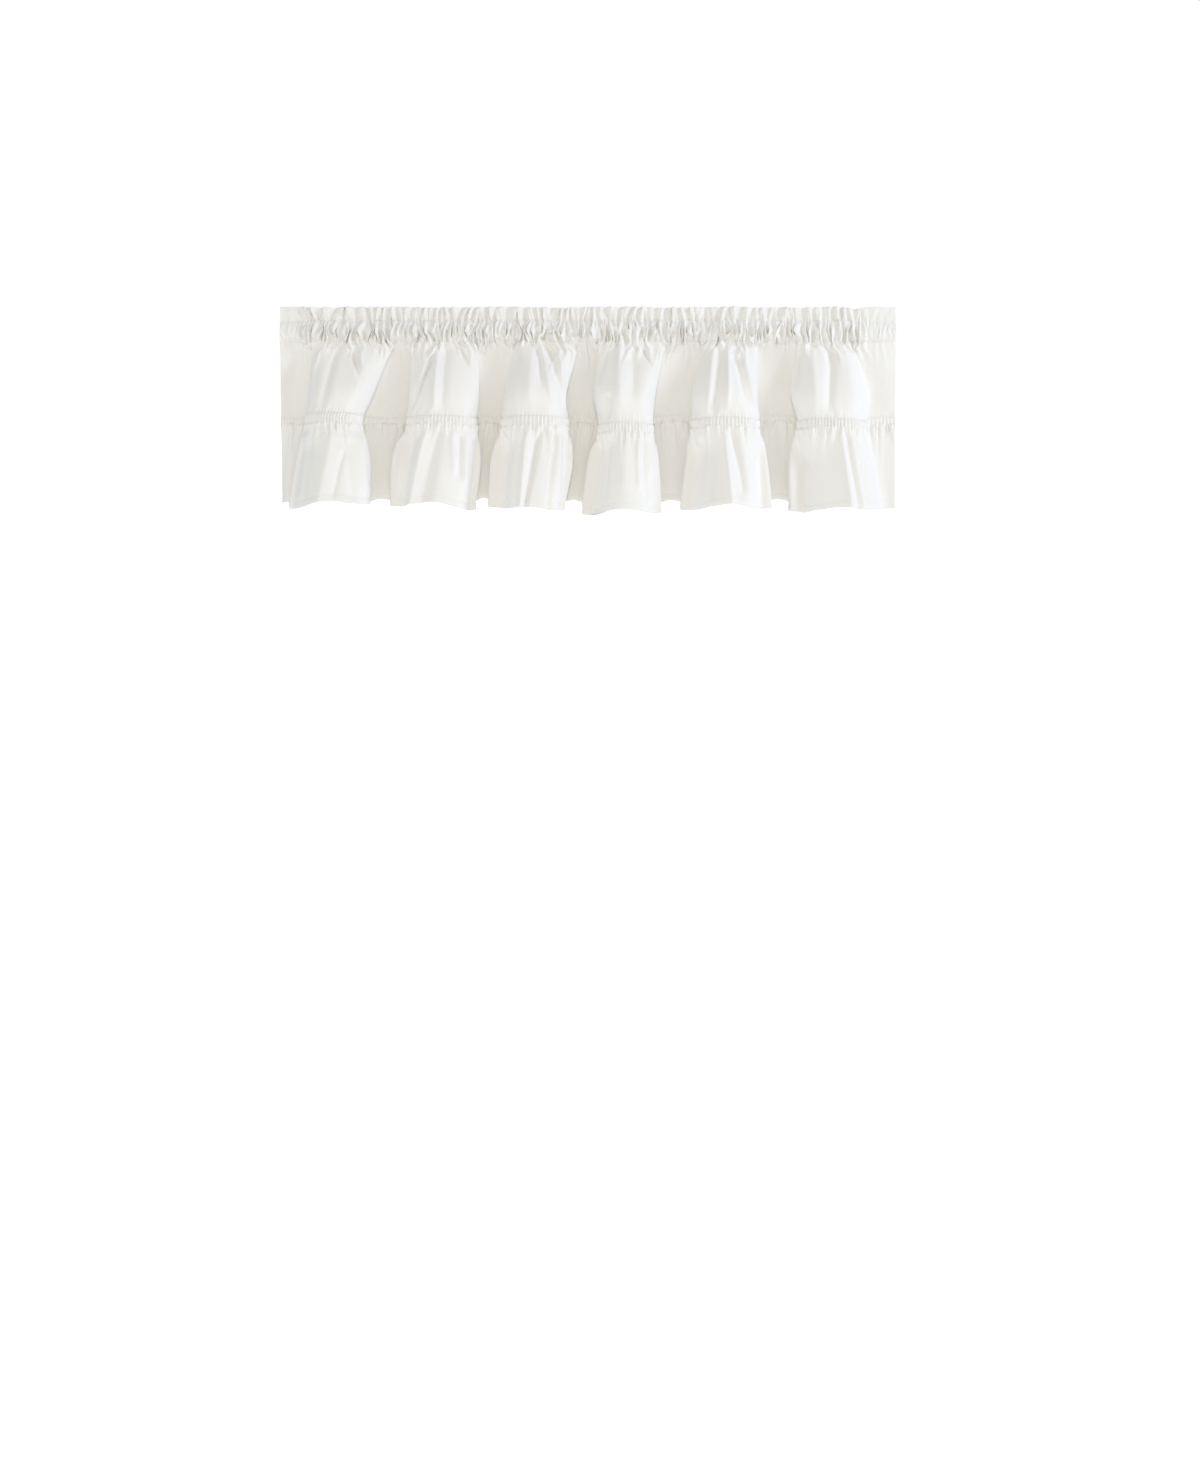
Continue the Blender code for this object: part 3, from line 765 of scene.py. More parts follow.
# The heading's front and back walls in section. drop: share of the way to the pocket's foot.
# foot: share of the place that is taken from the foot line.
SectionPoint = namedtuple("SectionPoint", "drop out foot")
STITCH_SHARE = STITCH_DROP / POCKET_FOOT_DROP
FRONT_WALL = (
    SectionPoint(0.00, 0.1, 0.0),
    SectionPoint(0.03, 0.8 * HEADER_HALF_DEPTH, 0.0),
    SectionPoint(0.30, HEADER_HALF_DEPTH, 0.0),
    SectionPoint(STITCH_SHARE, HEADER_HALF_DEPTH, 0.0),
    SectionPoint(0.54, 0.48 * POCKET_HALF_DEPTH, 0.0),
    SectionPoint(0.72, 0.78 * POCKET_HALF_DEPTH, 0.0),
    SectionPoint(0.88, 0.70 * POCKET_HALF_DEPTH, 0.20),
    SectionPoint(1.00, 0.0, 1.0),
)
BACK_WALL = (
    SectionPoint(0.00, 0.1, 0.0),
    SectionPoint(0.03, -0.8 * HEADER_HALF_DEPTH, 0.0),
    SectionPoint(0.30, -HEADER_HALF_DEPTH, 0.0),
    SectionPoint(STITCH_SHARE, -HEADER_HALF_DEPTH, 0.0),
    SectionPoint(0.52, -0.70 * POCKET_HALF_DEPTH, 0.0),
    SectionPoint(0.72, -0.88 * POCKET_HALF_DEPTH, 0.0),
    SectionPoint(0.90, -0.70 * POCKET_HALF_DEPTH, 0.0),
    SectionPoint(1.00, 0.0, 1.0),
)


def fold_heights(fold, crests, drop):
    """A function that gives how high the crests of a fold stand at each drop."""
    levels = np.array(FOLD_DROPS[:FOLD_HEIGHT_LEVELS])
    tall = np.array([fold.header, fold.stitch, fold.pocket, fold.body])[:, None] * crests.heights
    place = np.clip(np.searchsorted(levels, drop, side="right") - 1, 0, len(levels) - 2)
    t = np.clip((drop - levels[place]) / (levels[place + 1] - levels[place]), 0, 1)
    below = np.maximum(drop - POCKET_FOOT_DROP, 0)

    def height(at):
        """The height of the crest with this number at each place."""
        standing = tall[place, at] * (1 - t) + tall[place + 1, at] * t
        return standing * smooth_step(1 - below / crests.run[at]) ** RUN_FADE

    return height


def fold_relief(folds, x, drop):
    """How far the heading's folds stand out, and lean aside, at each gathered place and drop."""
    total = np.zeros_like(x)
    total_aside = np.zeros_like(x)
    row_drop = drop.mean(axis=1)
    below = np.maximum(drop - POCKET_FOOT_DROP, 0)
    in_pocket = smooth_step((drop - STITCH_DROP) / (POCKET_MIDDLE_DROP - STITCH_DROP))
    eyes = smooth_step((drop - EYE_TOP_DROP) / EYE_TOP_FADE)
    eyes = eyes * smooth_step((POCKET_FOOT_DROP + EYE_PAST_FOOT - drop) / EYE_FOOT_FADE)
    for fold in folds:
        crests = Crests(fold, -WIDTH / 2, WIDTH / 2)
        strays = [along(FOLD_DROPS, fold.wander * share * np.array(STRAY_SHARES), row_drop)
                  for share in crests.strays.T]
        left, share, gap = crests.beside(x, np.array(strays).T)
        roundness = fold.roundness + FOLD_NARROWING * smooth_step(below / FOLD_NARROWING_REACH)
        form, hollow = crests.shape(share, gap, roundness)
        standing = between(fold_heights(fold, crests, drop), left, share)
        lean = between(lambda at: crests.lean[at], left, share)
        total += standing * form
        total_aside += lean * standing * form
        total -= fold.eyes * eyes * in_pocket * crests.deep[left] * hollow ** 2
    for _ in range(ASIDE_SMOOTHINGS):
        total_aside[:, 1:-1] = (total_aside[:, :-2] + 2 * total_aside[:, 1:-1] + total_aside[:, 2:]) / 4
    pinch = STITCH_PINCH * np.exp(-(((drop - STITCH_DROP) / PINCH_HALF_HEIGHT) ** 2))
    strength = pleat_strength(x) * (1 - pinch)
    return strength * total, total_aside * strength


def seam_waver(x, drop):
    """How far the rows of stitches and the cloth about them stray up and down."""

    def waver(height, waves, seam_drop):
        """The waves of one seam, which fade away from it."""
        wave = sum(wave.share * soft_noise(wave.seed, x / wave.length, 0 * x) for wave in waves)
        return height * np.exp(-(((drop - seam_drop) / WAVER_REACH) ** 2)) * wave

    at_foot = waver(FOOT_WAVER, FOOT_WAVES, POCKET_FOOT_DROP)
    at_stitches = waver(STITCH_WAVER, STITCH_WAVES, STITCH_DROP)
    return pleat_strength(x) * (at_foot + at_stitches)


def heading_grid(columns, rows, wall):
    """Even places across, drops, and how far out a wall of the heading lies, as one grid."""
    x = np.linspace(-WIDTH / 2, WIDTH / 2, columns + 1)[None, :] + np.zeros((rows + 1, 1))
    top = top_edge_drop(x)
    share = np.linspace(0, 1, rows + 1)[:, None]
    drop = top + share * (POCKET_FOOT_DROP - top)
    shares = [point.drop for point in wall]
    out = along(shares, [point.out for point in wall], share)
    foot = along(shares, [point.foot for point in wall], share)
    return x, drop, out + foot * along(GATHERED_PLACES, GATHERED_OUTS, x)


def header_share(drop):
    """1 in the header, and 0 in the pocket."""
    return smooth_step((STITCH_DROP + HEADER_FADE / 2 - drop) / HEADER_FADE)


def across_flat(x):
    """How far along the flat cloth each place across the gathered heading lies."""
    return (x + WIDTH / 2) * (FLAT_WIDTH / MM) / WIDTH


def make_heading_front(columns, rows):
    """The header's front layer and the pocket's front, as one gathered cloth."""
    x, drop, out = heading_grid(columns, rows, FRONT_WALL)
    relief, aside = fold_relief(HEADING_FOLDS, x, drop)
    header_mean = HEADER_FOLD_MEAN * header_share(drop) * pleat_strength(x)
    y = -out - relief + header_mean
    z = -drop - seam_waver(x, drop)
    return grid_object("heading_front", x + aside, y, z, across_flat(x), drop)


def make_heading_back(columns, rows):
    """The header's back layer and the pocket's back, turned over at the top and stitched down."""
    x, drop, out = heading_grid(columns, rows, BACK_WALL)
    relief, aside = fold_relief(HEADING_FOLDS, x, drop)
    back, back_aside = fold_relief(BACK_FOLDS, x, drop)
    in_header = header_share(drop)
    in_foot = smooth_step((drop - POCKET_FOOT_DROP + POCKET_FOOT_FADE) / POCKET_FOOT_FADE)
    with_front = np.clip(in_header + in_foot, 0, 1)
    aside = with_front * aside + (1 - with_front) * back_aside
    header_mean = HEADER_FOLD_MEAN * in_header * pleat_strength(x)
    y = -out - with_front * relief + (1 - with_front) * back + header_mean + LAYER_GAP * in_foot
    z = -drop - seam_waver(x, drop)
    return grid_object("heading_back", x + aside, y, z, across_flat(x), -drop)


# ---------------------------------------------------------------- body and ruffle


def band_relief(lengths, away, whole, height):
    """The shirred band's puckers, carried on past the band's rows of stitching as short gathers."""
    crests = Crests(BAND_FOLD, 0.0, whole)
    strays = np.outer(away.mean(axis=1) / BAND_FOLD.most_run, BAND_FOLD.wander * crests.strays[0])
    left, share, gap = crests.beside(lengths, strays)
    roundness = BAND_FOLD.roundness + BAND_NARROWING * smooth_step(away / BAND_NARROWING_REACH)
    form, _ = crests.shape(share, gap, roundness)

    def standing(at):
        """How high the crest with this number stands at each place."""
        return crests.heights[0, at] * smooth_step(1 - away / crests.run[at]) ** RUN_FADE

    return height * between(standing, left, share) * form


def pucker_share(front):
    """How strongly the band puckers: in full on the fronts, and less in the valleys."""
    return VALLEY_PUCKER + (1 - VALLEY_PUCKER) * front


def turned(out_x, out_y, other_x, other_y, share):
    """An outward direction turned towards another one by a share."""
    out_x = out_x + share * (other_x - out_x)
    out_y = out_y + share * (other_y - out_y)
    size = np.hypot(out_x, out_y)
    return out_x / size, out_y / size


def beneath(x, y, places):
    """How far back the cloth lies at places near one of its sides, row by row."""
    rising = np.maximum.accumulate(x, axis=1)
    return np.array([np.interp(at, row_x, row_y) for at, row_x, row_y in zip(places, rising, y)])


def with_level_sides(grid):
    """A grid with its side columns repeated on the side hems."""
    level = 0 * SIDE_TURNS
    return np.concatenate([grid[:, :1] + level, grid, grid[:, -1:] + level], axis=1)


def with_side_hems(x, y, z):
    """The grids of x, y and z with each side's edge turned to the back as a narrow hem."""
    left_x = x[:, :1] + SIDE_TURNS
    left_y = beneath(x[:, :SIDE_REACH], y[:, :SIDE_REACH], left_x) + SIDE_SET_BACKS
    right_x = x[:, -1:] - SIDE_TURNS[::-1]
    right_y = beneath(x[:, -SIDE_REACH:], y[:, -SIDE_REACH:], right_x) + SIDE_SET_BACKS[::-1]
    return (np.concatenate([left_x, x, right_x], axis=1),
            np.concatenate([left_y, y, right_y], axis=1),
            with_level_sides(z))


def with_side_lengths(u, v):
    """The cloth's own coordinates, carried on round the side hems."""
    u = np.concatenate([u[:, :1] - SIDE_TURNS, u, u[:, -1:] + SIDE_TURNS[::-1]], axis=1)
    return u, with_level_sides(v)


def make_body(columns, rows):
    """The fluted panel, from the pocket's foot to behind the shirred band."""
    places, whole = even_places(columns)
    down = np.linspace(0, 1, rows) ** BODY_ROW_POWER
    shares = np.concatenate([down, [1 + HIDDEN_SHARE / 2, 1 + HIDDEN_SHARE]])[:, None]
    place = places[None, :] + 0 * shares
    lengths = np.linspace(0, whole, columns + 1)[None, :] + 0 * shares
    band_top = along(PLAN_PLACES, BAND_TOPS, place)
    band_foot = along(PLAN_PLACES, BAND_FEET, place)
    drop = POCKET_FOOT_DROP + np.minimum(shares, 1) * (band_top - POCKET_FOOT_DROP)
    hidden = band_foot - BODY_HIDDEN_BY_BAND - band_top
    drop = drop + np.clip((shares - 1) / HIDDEN_SHARE, 0, 1) * hidden
    from_top = drop - POCKET_FOOT_DROP
    from_foot = np.maximum(band_top - drop, 0)
    foot_calm = smooth_step(from_foot / FOOT_CALM)

    x, y, out_x, out_y = BODY_PLAN.at(place, drop)
    front = front_share(y, out_y)
    gathered_x = along(PLAN_PLACES, GATHERED_PLACES, place)
    gathered_y = -along(PLAN_PLACES, GATHERED_OUTS, place)
    out, aside = crease_moves(BODY_CREASES, x, drop, BODY_CREASE_FADE)
    fold, fold_aside = fold_relief(HEADING_FOLDS, gathered_x, drop)
    relief = front * out * smooth_step(from_top / CREASE_TOP_FADE)
    relief = relief * smooth_step(from_foot / CREASE_FOOT_FADE)
    foot = BODY_FOOT_SHARE * pucker_share(front) * band_relief(lengths, from_foot, whole, BAND_FOLD.body)
    foot_gathers = gathers(BODY_FOOT_GATHERS, lengths, from_foot, whole)
    foot = foot + foot_gathers * smooth_step(from_foot / FOOT_GATHERS_FADE)
    ends = BODY_END_FULLNESS + (1 - BODY_END_FULLNESS) * pleat_strength(x)
    relief = relief + ends * (shares <= 1.0) * foot
    relief = relief + unevenness(BODY_UNEVENNESS, lengths, drop, from_top) * foot_calm
    relief = relief + fold * foot_calm
    side = front * aside + fold_aside

    spread = 1.0 - np.exp(-from_top / SPREAD_DROP)
    out_x, out_y = turned(0.0, -1.0, out_x, out_y, spread)
    x = gathered_x + spread * (x - gathered_x) + out_x * relief - out_y * side
    y = gathered_y + spread * (y - gathered_y) + out_y * relief + out_x * side
    x, y, z = with_side_hems(x, y, -drop - seam_waver(gathered_x, drop))
    return grid_object("body_cloth", x, y, z, *with_side_lengths(lengths, drop))


def ruffle_lines(columns):
    """Places along the ruffle's cloth, its length, and its seams and edge at each place."""
    places, whole = even_places(columns)
    tops = along(PLAN_PLACES, BAND_TOPS, places)[None, :]
    feet = along(PLAN_PLACES, BAND_FEET, places)[None, :]
    hems = along(PLAN_PLACES, HEMS, places)[None, :]
    return places[None, :], whole, tops, feet, hems


def ruffle_surface(place, whole, band_top, band_foot, hem, drop, inner):
    """The ruffle's cloth as grids for grid_object. inner: 1 on the hem's turned-up layer."""
    columns = place.shape[1]
    place = place + 0 * drop
    lengths = np.linspace(0, whole, columns)[None, :] + 0 * drop
    from_band = np.maximum(drop - band_foot, 0)
    flare = smooth_step((drop - band_foot) / FLARE_DROP)

    band_x, band_y, out_x, out_y = BODY_PLAN.at(place, np.minimum(drop, band_foot))
    band_x = band_x + out_x * BAND_OFFSET
    band_y = band_y + out_y * BAND_OFFSET
    x, y, skirt_out_x, skirt_out_y = RUFFLE_PLAN.at(place, drop)
    front = front_share(y, skirt_out_y)
    out, aside = crease_moves(RUFFLE_CREASES, x, drop, RUFFLE_CREASE_FADE)
    out_x, out_y = turned(out_x, out_y, skirt_out_x, skirt_out_y, flare)
    x = band_x + flare * (x - band_x)
    y = band_y + flare * (y - band_y)

    pucker = band_relief(lengths, from_band, whole, BAND_FOLD.pocket)
    across_band = np.clip((drop - band_top) / (band_foot - band_top), 0, 1)
    bulge = np.sin(math.pi * across_band) ** PUCKER_SECTION
    in_band = (drop < band_foot) * pucker_share(front)
    relief = in_band * pucker * (STITCHED_PUCKER + (1 - STITCHED_PUCKER) * bulge)
    loose = pucker * BAND_FOLD.body / BAND_FOLD.pocket + gathers(LONG_GATHERS, lengths, from_band, whole)
    loose = loose * (STITCHED_PUCKER + (1 - STITCHED_PUCKER) * smooth_step(from_band / PUCKER_RISE))
    relief = relief + (drop >= band_foot) * loose
    relief = relief + front * out * flare
    relief = relief + unevenness(RUFFLE_UNEVENNESS, lengths, drop, from_band)
    hem_line = np.exp(-(((hem - HEM_DEPTH - drop) / HEM_DIMPLE_HALF_WIDTH) ** 2)) * (1 - inner)
    relief = relief - HEM_LAYER * inner - HEM_DIMPLE * hem_line
    side = front * aside * flare
    x = x + out_x * relief - out_y * side
    y = y + out_y * relief + out_x * side
    u = lengths * FLAT_RUFFLE_WIDTH / FLAT_WIDTH
    return (*with_side_hems(x, y, -drop), *with_side_lengths(u, drop + 2 * inner * (hem - drop)))


def make_ruffle_top(columns, band_rows, rows):
    """The shirred band over the seam, and the short gathers just below it."""
    place, whole, tops, feet, hems = ruffle_lines(columns)
    band = np.linspace(0, 1, band_rows)[:, None]
    below = np.linspace(0, 1, rows + 1)[1:, None]
    drop = np.concatenate([tops + band * (feet - tops), feet + below * GATHERS_DROP])
    surface = ruffle_surface(place, whole, tops, feet, hems, drop, 0 * drop)
    return grid_object("ruffle_top", *surface)


def make_ruffle(columns, rows):
    """The ruffle's loose folds, down to its turned hem."""
    place, whole, tops, feet, hems = ruffle_lines(columns)
    start = feet + GATHERS_DROP
    share = np.linspace(0, 1, rows)[:, None]
    turned_up = np.array(HEM_TURNS)[:, None] * HEM_DEPTH
    drop = np.concatenate([start + share * (hems - start), hems - turned_up])
    inner = np.concatenate([0 * share, 0 * turned_up + 1.0])
    surface = ruffle_surface(place, whole, tops, feet, hems, drop, inner)
    return grid_object("ruffle_cloth", *surface)


# ---------------------------------------------------------------- materials

# Places of a Mix node's two colour inputs and of its colour output.
MIX_FIRST = 6
MIX_SECOND = 7
MIX_RESULT = 2

WEAVE_INPUTS = (
    ("Yarn Colour", "NodeSocketColor", (0.87, 0.865, 0.845, 1.0)),
    ("Slub Colour", "NodeSocketColor", (0.80, 0.785, 0.75, 1.0)),
    ("Yarn Pitch", "NodeSocketFloat", 0.00042),
    ("Weave Depth", "NodeSocketFloat", 0.3),
    ("Crumple Depth", "NodeSocketFloat", 0.3),
    ("Roughness", "NodeSocketFloat", 0.85),
)
WEAVE_OUTPUTS = (
    ("Colour", "NodeSocketColor"),
    ("Roughness", "NodeSocketFloat"),
    ("Normal", "NodeSocketVector"),
)
# Noises on the cloth: stretch across and down, scale and detail.
Noise = namedtuple("Noise", "stretch scale detail")
WARP_SLUBS = Noise((900.0, 45.0, 1.0), 1.0, 2.0)
WEFT_SLUBS = Noise((40.0, 1100.0, 1.0), 1.0, 2.0)
CRUMPLES = Noise((1.0, 0.6, 1.0), 95.0, 4.0)
CLOUDS = Noise((1.0, 1.0, 1.0), 14.0, 2.0)
THREAD_TWIST = Noise((1.0, 1.0, 1.0), 2600.0, 1.0)
YARN_RELIEF = 0.0001
CRUMPLE_RELIEF = 0.0012
TWIST_RELIEF = 0.00005
TWIST_STRENGTH = 0.4
SLUB_HEIGHT = 3.0
SLUB_SHADE = 0.7
CLOUD_SHADE = 0.25
# How much lighter the weave's raised crossings are painted: a painted highlight.
CROSSING_PAINTED_HIGHLIGHT = 0.05
SLUB_ROUGHNESS = 0.2
SLUB_DARKER = 0.93
COTTON_SPECULAR = 0.3
SHEEN_ROUGHNESS = 0.5
THREAD_DARKER = 0.92
THREAD_LIGHTER = 1.05
THREAD_ROUGHNESS = 0.6

# How deep the weave and the crumples look, and the cotton's sheen, on each part.
Finish = namedtuple("Finish", "weave_depth crumple_depth sheen")
HEADING_FINISH = Finish(0.35, 0.35, 0.15)
BODY_FINISH = Finish(0.30, 0.45, 0.12)
RUFFLE_FINISH = Finish(0.30, 0.45, 0.12)


def node_in(tree, kind, inputs=None, **settings):
    """A node of a tree with its settings. inputs: a socket or a value for each input it names."""
    node = tree.nodes.new(kind)
    for key, value in settings.items():
        setattr(node, key, value)
    for key, value in (inputs or {}).items():
        if isinstance(value, bpy.types.NodeSocket):
            tree.links.new(value, node.inputs[key])
        else:
            node.inputs[key].default_value = value
    return node


def math_node(tree, operation, *values):
    """The result of a Math node on sockets or numbers."""
    return node_in(tree, "ShaderNodeMath", dict(enumerate(values)), operation=operation).outputs[0]


def noise_on(tree, vector, noise):
    """A noise laid over the cloth's own coordinates, or over an object's."""
    mapping = node_in(tree, "ShaderNodeMapping", {"Vector": vector, "Scale": noise.stretch})
    inputs = {"Vector": mapping.outputs["Vector"], "Scale": noise.scale, "Detail": noise.detail}
    return node_in(tree, "ShaderNodeTexNoise", inputs).outputs["Fac"]


def plain_weave_group():
    """Node group: a plain weave with slubs and crumples, as a colour, a roughness and a normal."""
    group = bpy.data.node_groups.new("plain weave", "ShaderNodeTree")
    for name, kind, default in WEAVE_INPUTS:
        socket = group.interface.new_socket(name=name, in_out="INPUT", socket_type=kind)
        socket.default_value = default
    for name, kind in WEAVE_OUTPUTS:
        group.interface.new_socket(name=name, in_out="OUTPUT", socket_type=kind)
    given = group.nodes.new("NodeGroupInput").outputs
    put_out = group.nodes.new("NodeGroupOutput").inputs

    cloth = node_in(group, "ShaderNodeUVMap", uv_map="cloth").outputs["UV"]
    split = node_in(group, "ShaderNodeSeparateXYZ", {0: cloth})
    turn = math_node(group, "DIVIDE", math.pi, given["Yarn Pitch"])
    warp = math_node(group, "SINE", math_node(group, "MULTIPLY", split.outputs["X"], turn))
    weft = math_node(group, "SINE", math_node(group, "MULTIPLY", split.outputs["Y"], turn))
    crossing = math_node(group, "MULTIPLY", warp, weft)
    slub = math_node(group, "MULTIPLY", noise_on(group, cloth, WARP_SLUBS),
                     noise_on(group, cloth, WEFT_SLUBS))

    yarn_height = math_node(group, "ADD", crossing, math_node(group, "MULTIPLY", slub, SLUB_HEIGHT))
    weave_bump = node_in(group, "ShaderNodeBump", {
        "Distance": YARN_RELIEF, "Strength": given["Weave Depth"], "Height": yarn_height})
    crumple_bump = node_in(group, "ShaderNodeBump", {
        "Distance": CRUMPLE_RELIEF, "Strength": given["Crumple Depth"],
        "Height": noise_on(group, cloth, CRUMPLES), "Normal": weave_bump.outputs["Normal"]})
    group.links.new(crumple_bump.outputs["Normal"], put_out["Normal"])

    cloudy = math_node(group, "MULTIPLY", noise_on(group, cloth, CLOUDS), CLOUD_SHADE)
    shade = math_node(group, "ADD", math_node(group, "MULTIPLY", slub, SLUB_SHADE), cloudy)
    # The weave's raised crossings are painted lighter: a painted highlight on the yarn's relief.
    lit_crossing = math_node(group, "MULTIPLY", crossing, CROSSING_PAINTED_HIGHLIGHT)
    shade = math_node(group, "SUBTRACT", shade, lit_crossing)
    mix = node_in(group, "ShaderNodeMix", data_type="RGBA", clamp_factor=True, inputs={
        "Factor": shade, MIX_FIRST: given["Yarn Colour"], MIX_SECOND: given["Slub Colour"]})
    group.links.new(mix.outputs[MIX_RESULT], put_out["Colour"])
    rougher = math_node(group, "MULTIPLY", slub, SLUB_ROUGHNESS)
    group.links.new(math_node(group, "ADD", given["Roughness"], rougher), put_out["Roughness"])
    return group


def shaded_material(name, constants):
    """A new material, and its Principled shader with these constants on the shader's own sockets."""
    material = bpy.data.materials.new(name)
    material.use_nodes = True
    shader = material.node_tree.nodes["Principled BSDF"]
    for socket, value in constants.items():
        shader.inputs[socket].default_value = value
    return material, shader


def toned(colour, share):
    """A colour made darker or lighter by a share, with its alpha."""
    return (*(min(1.0, share * part) for part in colour), 1.0)


def cotton(name, colour, roughness, finish):
    """A white plain-weave cotton."""
    material, shader = shaded_material(name, {
        "Specular IOR Level": COTTON_SPECULAR,
        "Sheen Weight": finish.sheen,
        "Sheen Roughness": SHEEN_ROUGHNESS,
    })
    tree = material.node_tree
    group = bpy.data.node_groups.get("plain weave") or plain_weave_group()
    weave = node_in(tree, "ShaderNodeGroup", node_tree=group, inputs={
        "Yarn Colour": toned(colour, 1.0),
        "Slub Colour": toned(colour, SLUB_DARKER),
        "Weave Depth": finish.weave_depth,
        "Crumple Depth": finish.crumple_depth,
        "Roughness": roughness,
    })
    tree.links.new(weave.outputs["Colour"], shader.inputs["Base Color"])
    tree.links.new(weave.outputs["Roughness"], shader.inputs["Roughness"])
    tree.links.new(weave.outputs["Normal"], shader.inputs["Normal"])
    return material


def sewing_thread(colour):
    """A twisted white thread, the same one for every row of stitches."""
    known = bpy.data.materials.get("sewing thread")
    if known:
        return known
    material, shader = shaded_material("sewing thread", {"Roughness": THREAD_ROUGHNESS})
    tree = material.node_tree
    twist = noise_on(tree, node_in(tree, "ShaderNodeTexCoord").outputs["Object"], THREAD_TWIST)
    mix = node_in(tree, "ShaderNodeMix", data_type="RGBA", inputs={
        "Factor": twist, MIX_FIRST: toned(colour, THREAD_DARKER),
        MIX_SECOND: toned(colour, THREAD_LIGHTER)})
    bump = node_in(tree, "ShaderNodeBump", {
        "Distance": TWIST_RELIEF, "Strength": TWIST_STRENGTH, "Height": twist})
    tree.links.new(mix.outputs[MIX_RESULT], shader.inputs["Base Color"])
    tree.links.new(bump.outputs["Normal"], shader.inputs["Normal"])
    return material


# ---------------------------------------------------------------- stage

Light = namedtuple("Light", "name place size power colour")
LIGHTS = (
    Light("key light", (2.9, -1.15, 1.2), 1.0, 47, (0.76, 0.833, 1.0)),
    Light("fill light", (-2.9, -1.15, 0.9), 1.0, 10, (0.85, 0.95, 1.0)),
    Light("front light", (0.0, -3.6, 0.6), 0.9, 37, (1.0, 0.882, 0.61)),
)
LIGHT_TARGET = (0.0, 0.0, -0.2)
STUDIO_COLOUR = (0.91, 0.939, 1.0, 1.0)
STUDIO_STRENGTH = 0.43
WHITE = (1.0, 1.0, 1.0, 1.0)

CAMERA_DISTANCE = 3.5
VIEW_HEIGHT = 2.5215
VIEW_CENTRE_X = 0.0211
VIEW_CENTRE_Z = -0.7336
SENSOR_WIDTH = 36.0

# The backdrop: a floor that bends up into a wall, in metres.
WALL_Y = 4.6
WALL_TOP = 0.6
FLOOR_Z = -2.3
FLOOR_BEND = 1.2
FLOOR_BEND_STEPS = 12
FLOOR_REACH = 6.0
FLOOR_HALF_WIDTH = 9.0
BACKDROP_COLOUR = (0.97, 0.97, 0.97, 1.0)
BACKDROP_GLOW = 0.5


def make_backdrop():
    """A pale floor that curves up into a wall."""
    profile = [(-FLOOR_REACH, FLOOR_Z)]
    for step in range(FLOOR_BEND_STEPS + 1):
        angle = math.pi / 2 * step / FLOOR_BEND_STEPS
        profile.append((WALL_Y - FLOOR_BEND + FLOOR_BEND * math.sin(angle),
                        FLOOR_Z + FLOOR_BEND - FLOOR_BEND * math.cos(angle)))
    profile.append((WALL_Y, WALL_TOP))
    y, z = (np.array(places)[:, None] / MM + np.zeros((1, 2)) for places in zip(*profile))
    x = np.array([-FLOOR_HALF_WIDTH, FLOOR_HALF_WIDTH])[None, :] / MM + 0 * y
    backdrop = grid_object("backdrop", x, y, z, x, z)
    material, _ = shaded_material("backdrop paper", {
        "Base Color": BACKDROP_COLOUR,
        "Roughness": 1.0,
        "Emission Color": WHITE,
        "Emission Strength": BACKDROP_GLOW,
    })
    backdrop.data.materials.append(material)


def add_light(light):
    """One round soft lamp, turned towards the valance."""
    data = bpy.data.lights.new(light.name, "AREA")
    data.shape = "DISK"
    data.size = light.size
    data.energy = light.power
    data.color = light.colour
    lamp = bpy.data.objects.new(light.name, data)
    lamp.location = light.place
    aim = Vector(LIGHT_TARGET) - Vector(light.place)
    lamp.rotation_euler = aim.to_track_quat("-Z", "Y").to_euler()
    bpy.context.scene.collection.objects.link(lamp)


def studio_world():
    """Soft light from all around, which the camera sees as plain white."""
    world = bpy.data.worlds.new("studio")
    world.use_nodes = True
    tree = world.node_tree
    background = tree.nodes["Background"]
    background.inputs["Color"].default_value = STUDIO_COLOUR
    background.inputs["Strength"].default_value = STUDIO_STRENGTH
    seen = node_in(tree, "ShaderNodeBackground", {"Color": WHITE})
    rays = node_in(tree, "ShaderNodeLightPath")
    mix = node_in(tree, "ShaderNodeMixShader", {
        0: rays.outputs["Is Camera Ray"], 1: background.outputs[0], 2: seen.outputs[0]})
    tree.links.new(mix.outputs[0], tree.nodes["World Output"].inputs["Surface"])
    return world


def add_camera():
    """The camera, level and square on, with the whole frame around the valance."""
    data = bpy.data.cameras.new("camera")
    data.sensor_width = SENSOR_WIDTH
    data.lens = SENSOR_WIDTH * CAMERA_DISTANCE / VIEW_HEIGHT
    camera = bpy.data.objects.new("camera", data)
    camera.location = (VIEW_CENTRE_X, -CAMERA_DISTANCE, VIEW_CENTRE_Z)
    camera.rotation_euler = (math.pi / 2, 0.0, 0.0)
    bpy.context.scene.collection.objects.link(camera)
    return camera


# ---------------------------------------------------------------- operators

# Steps down each sheet, and the columns that the two side hems add.
HEADING_FRONT_ROWS = 48
HEADING_BACK_ROWS = 24
BAND_ROWS = 13
GATHER_ROWS = 14
SIDE_COLUMNS = 2 * len(SIDE_TURNS)


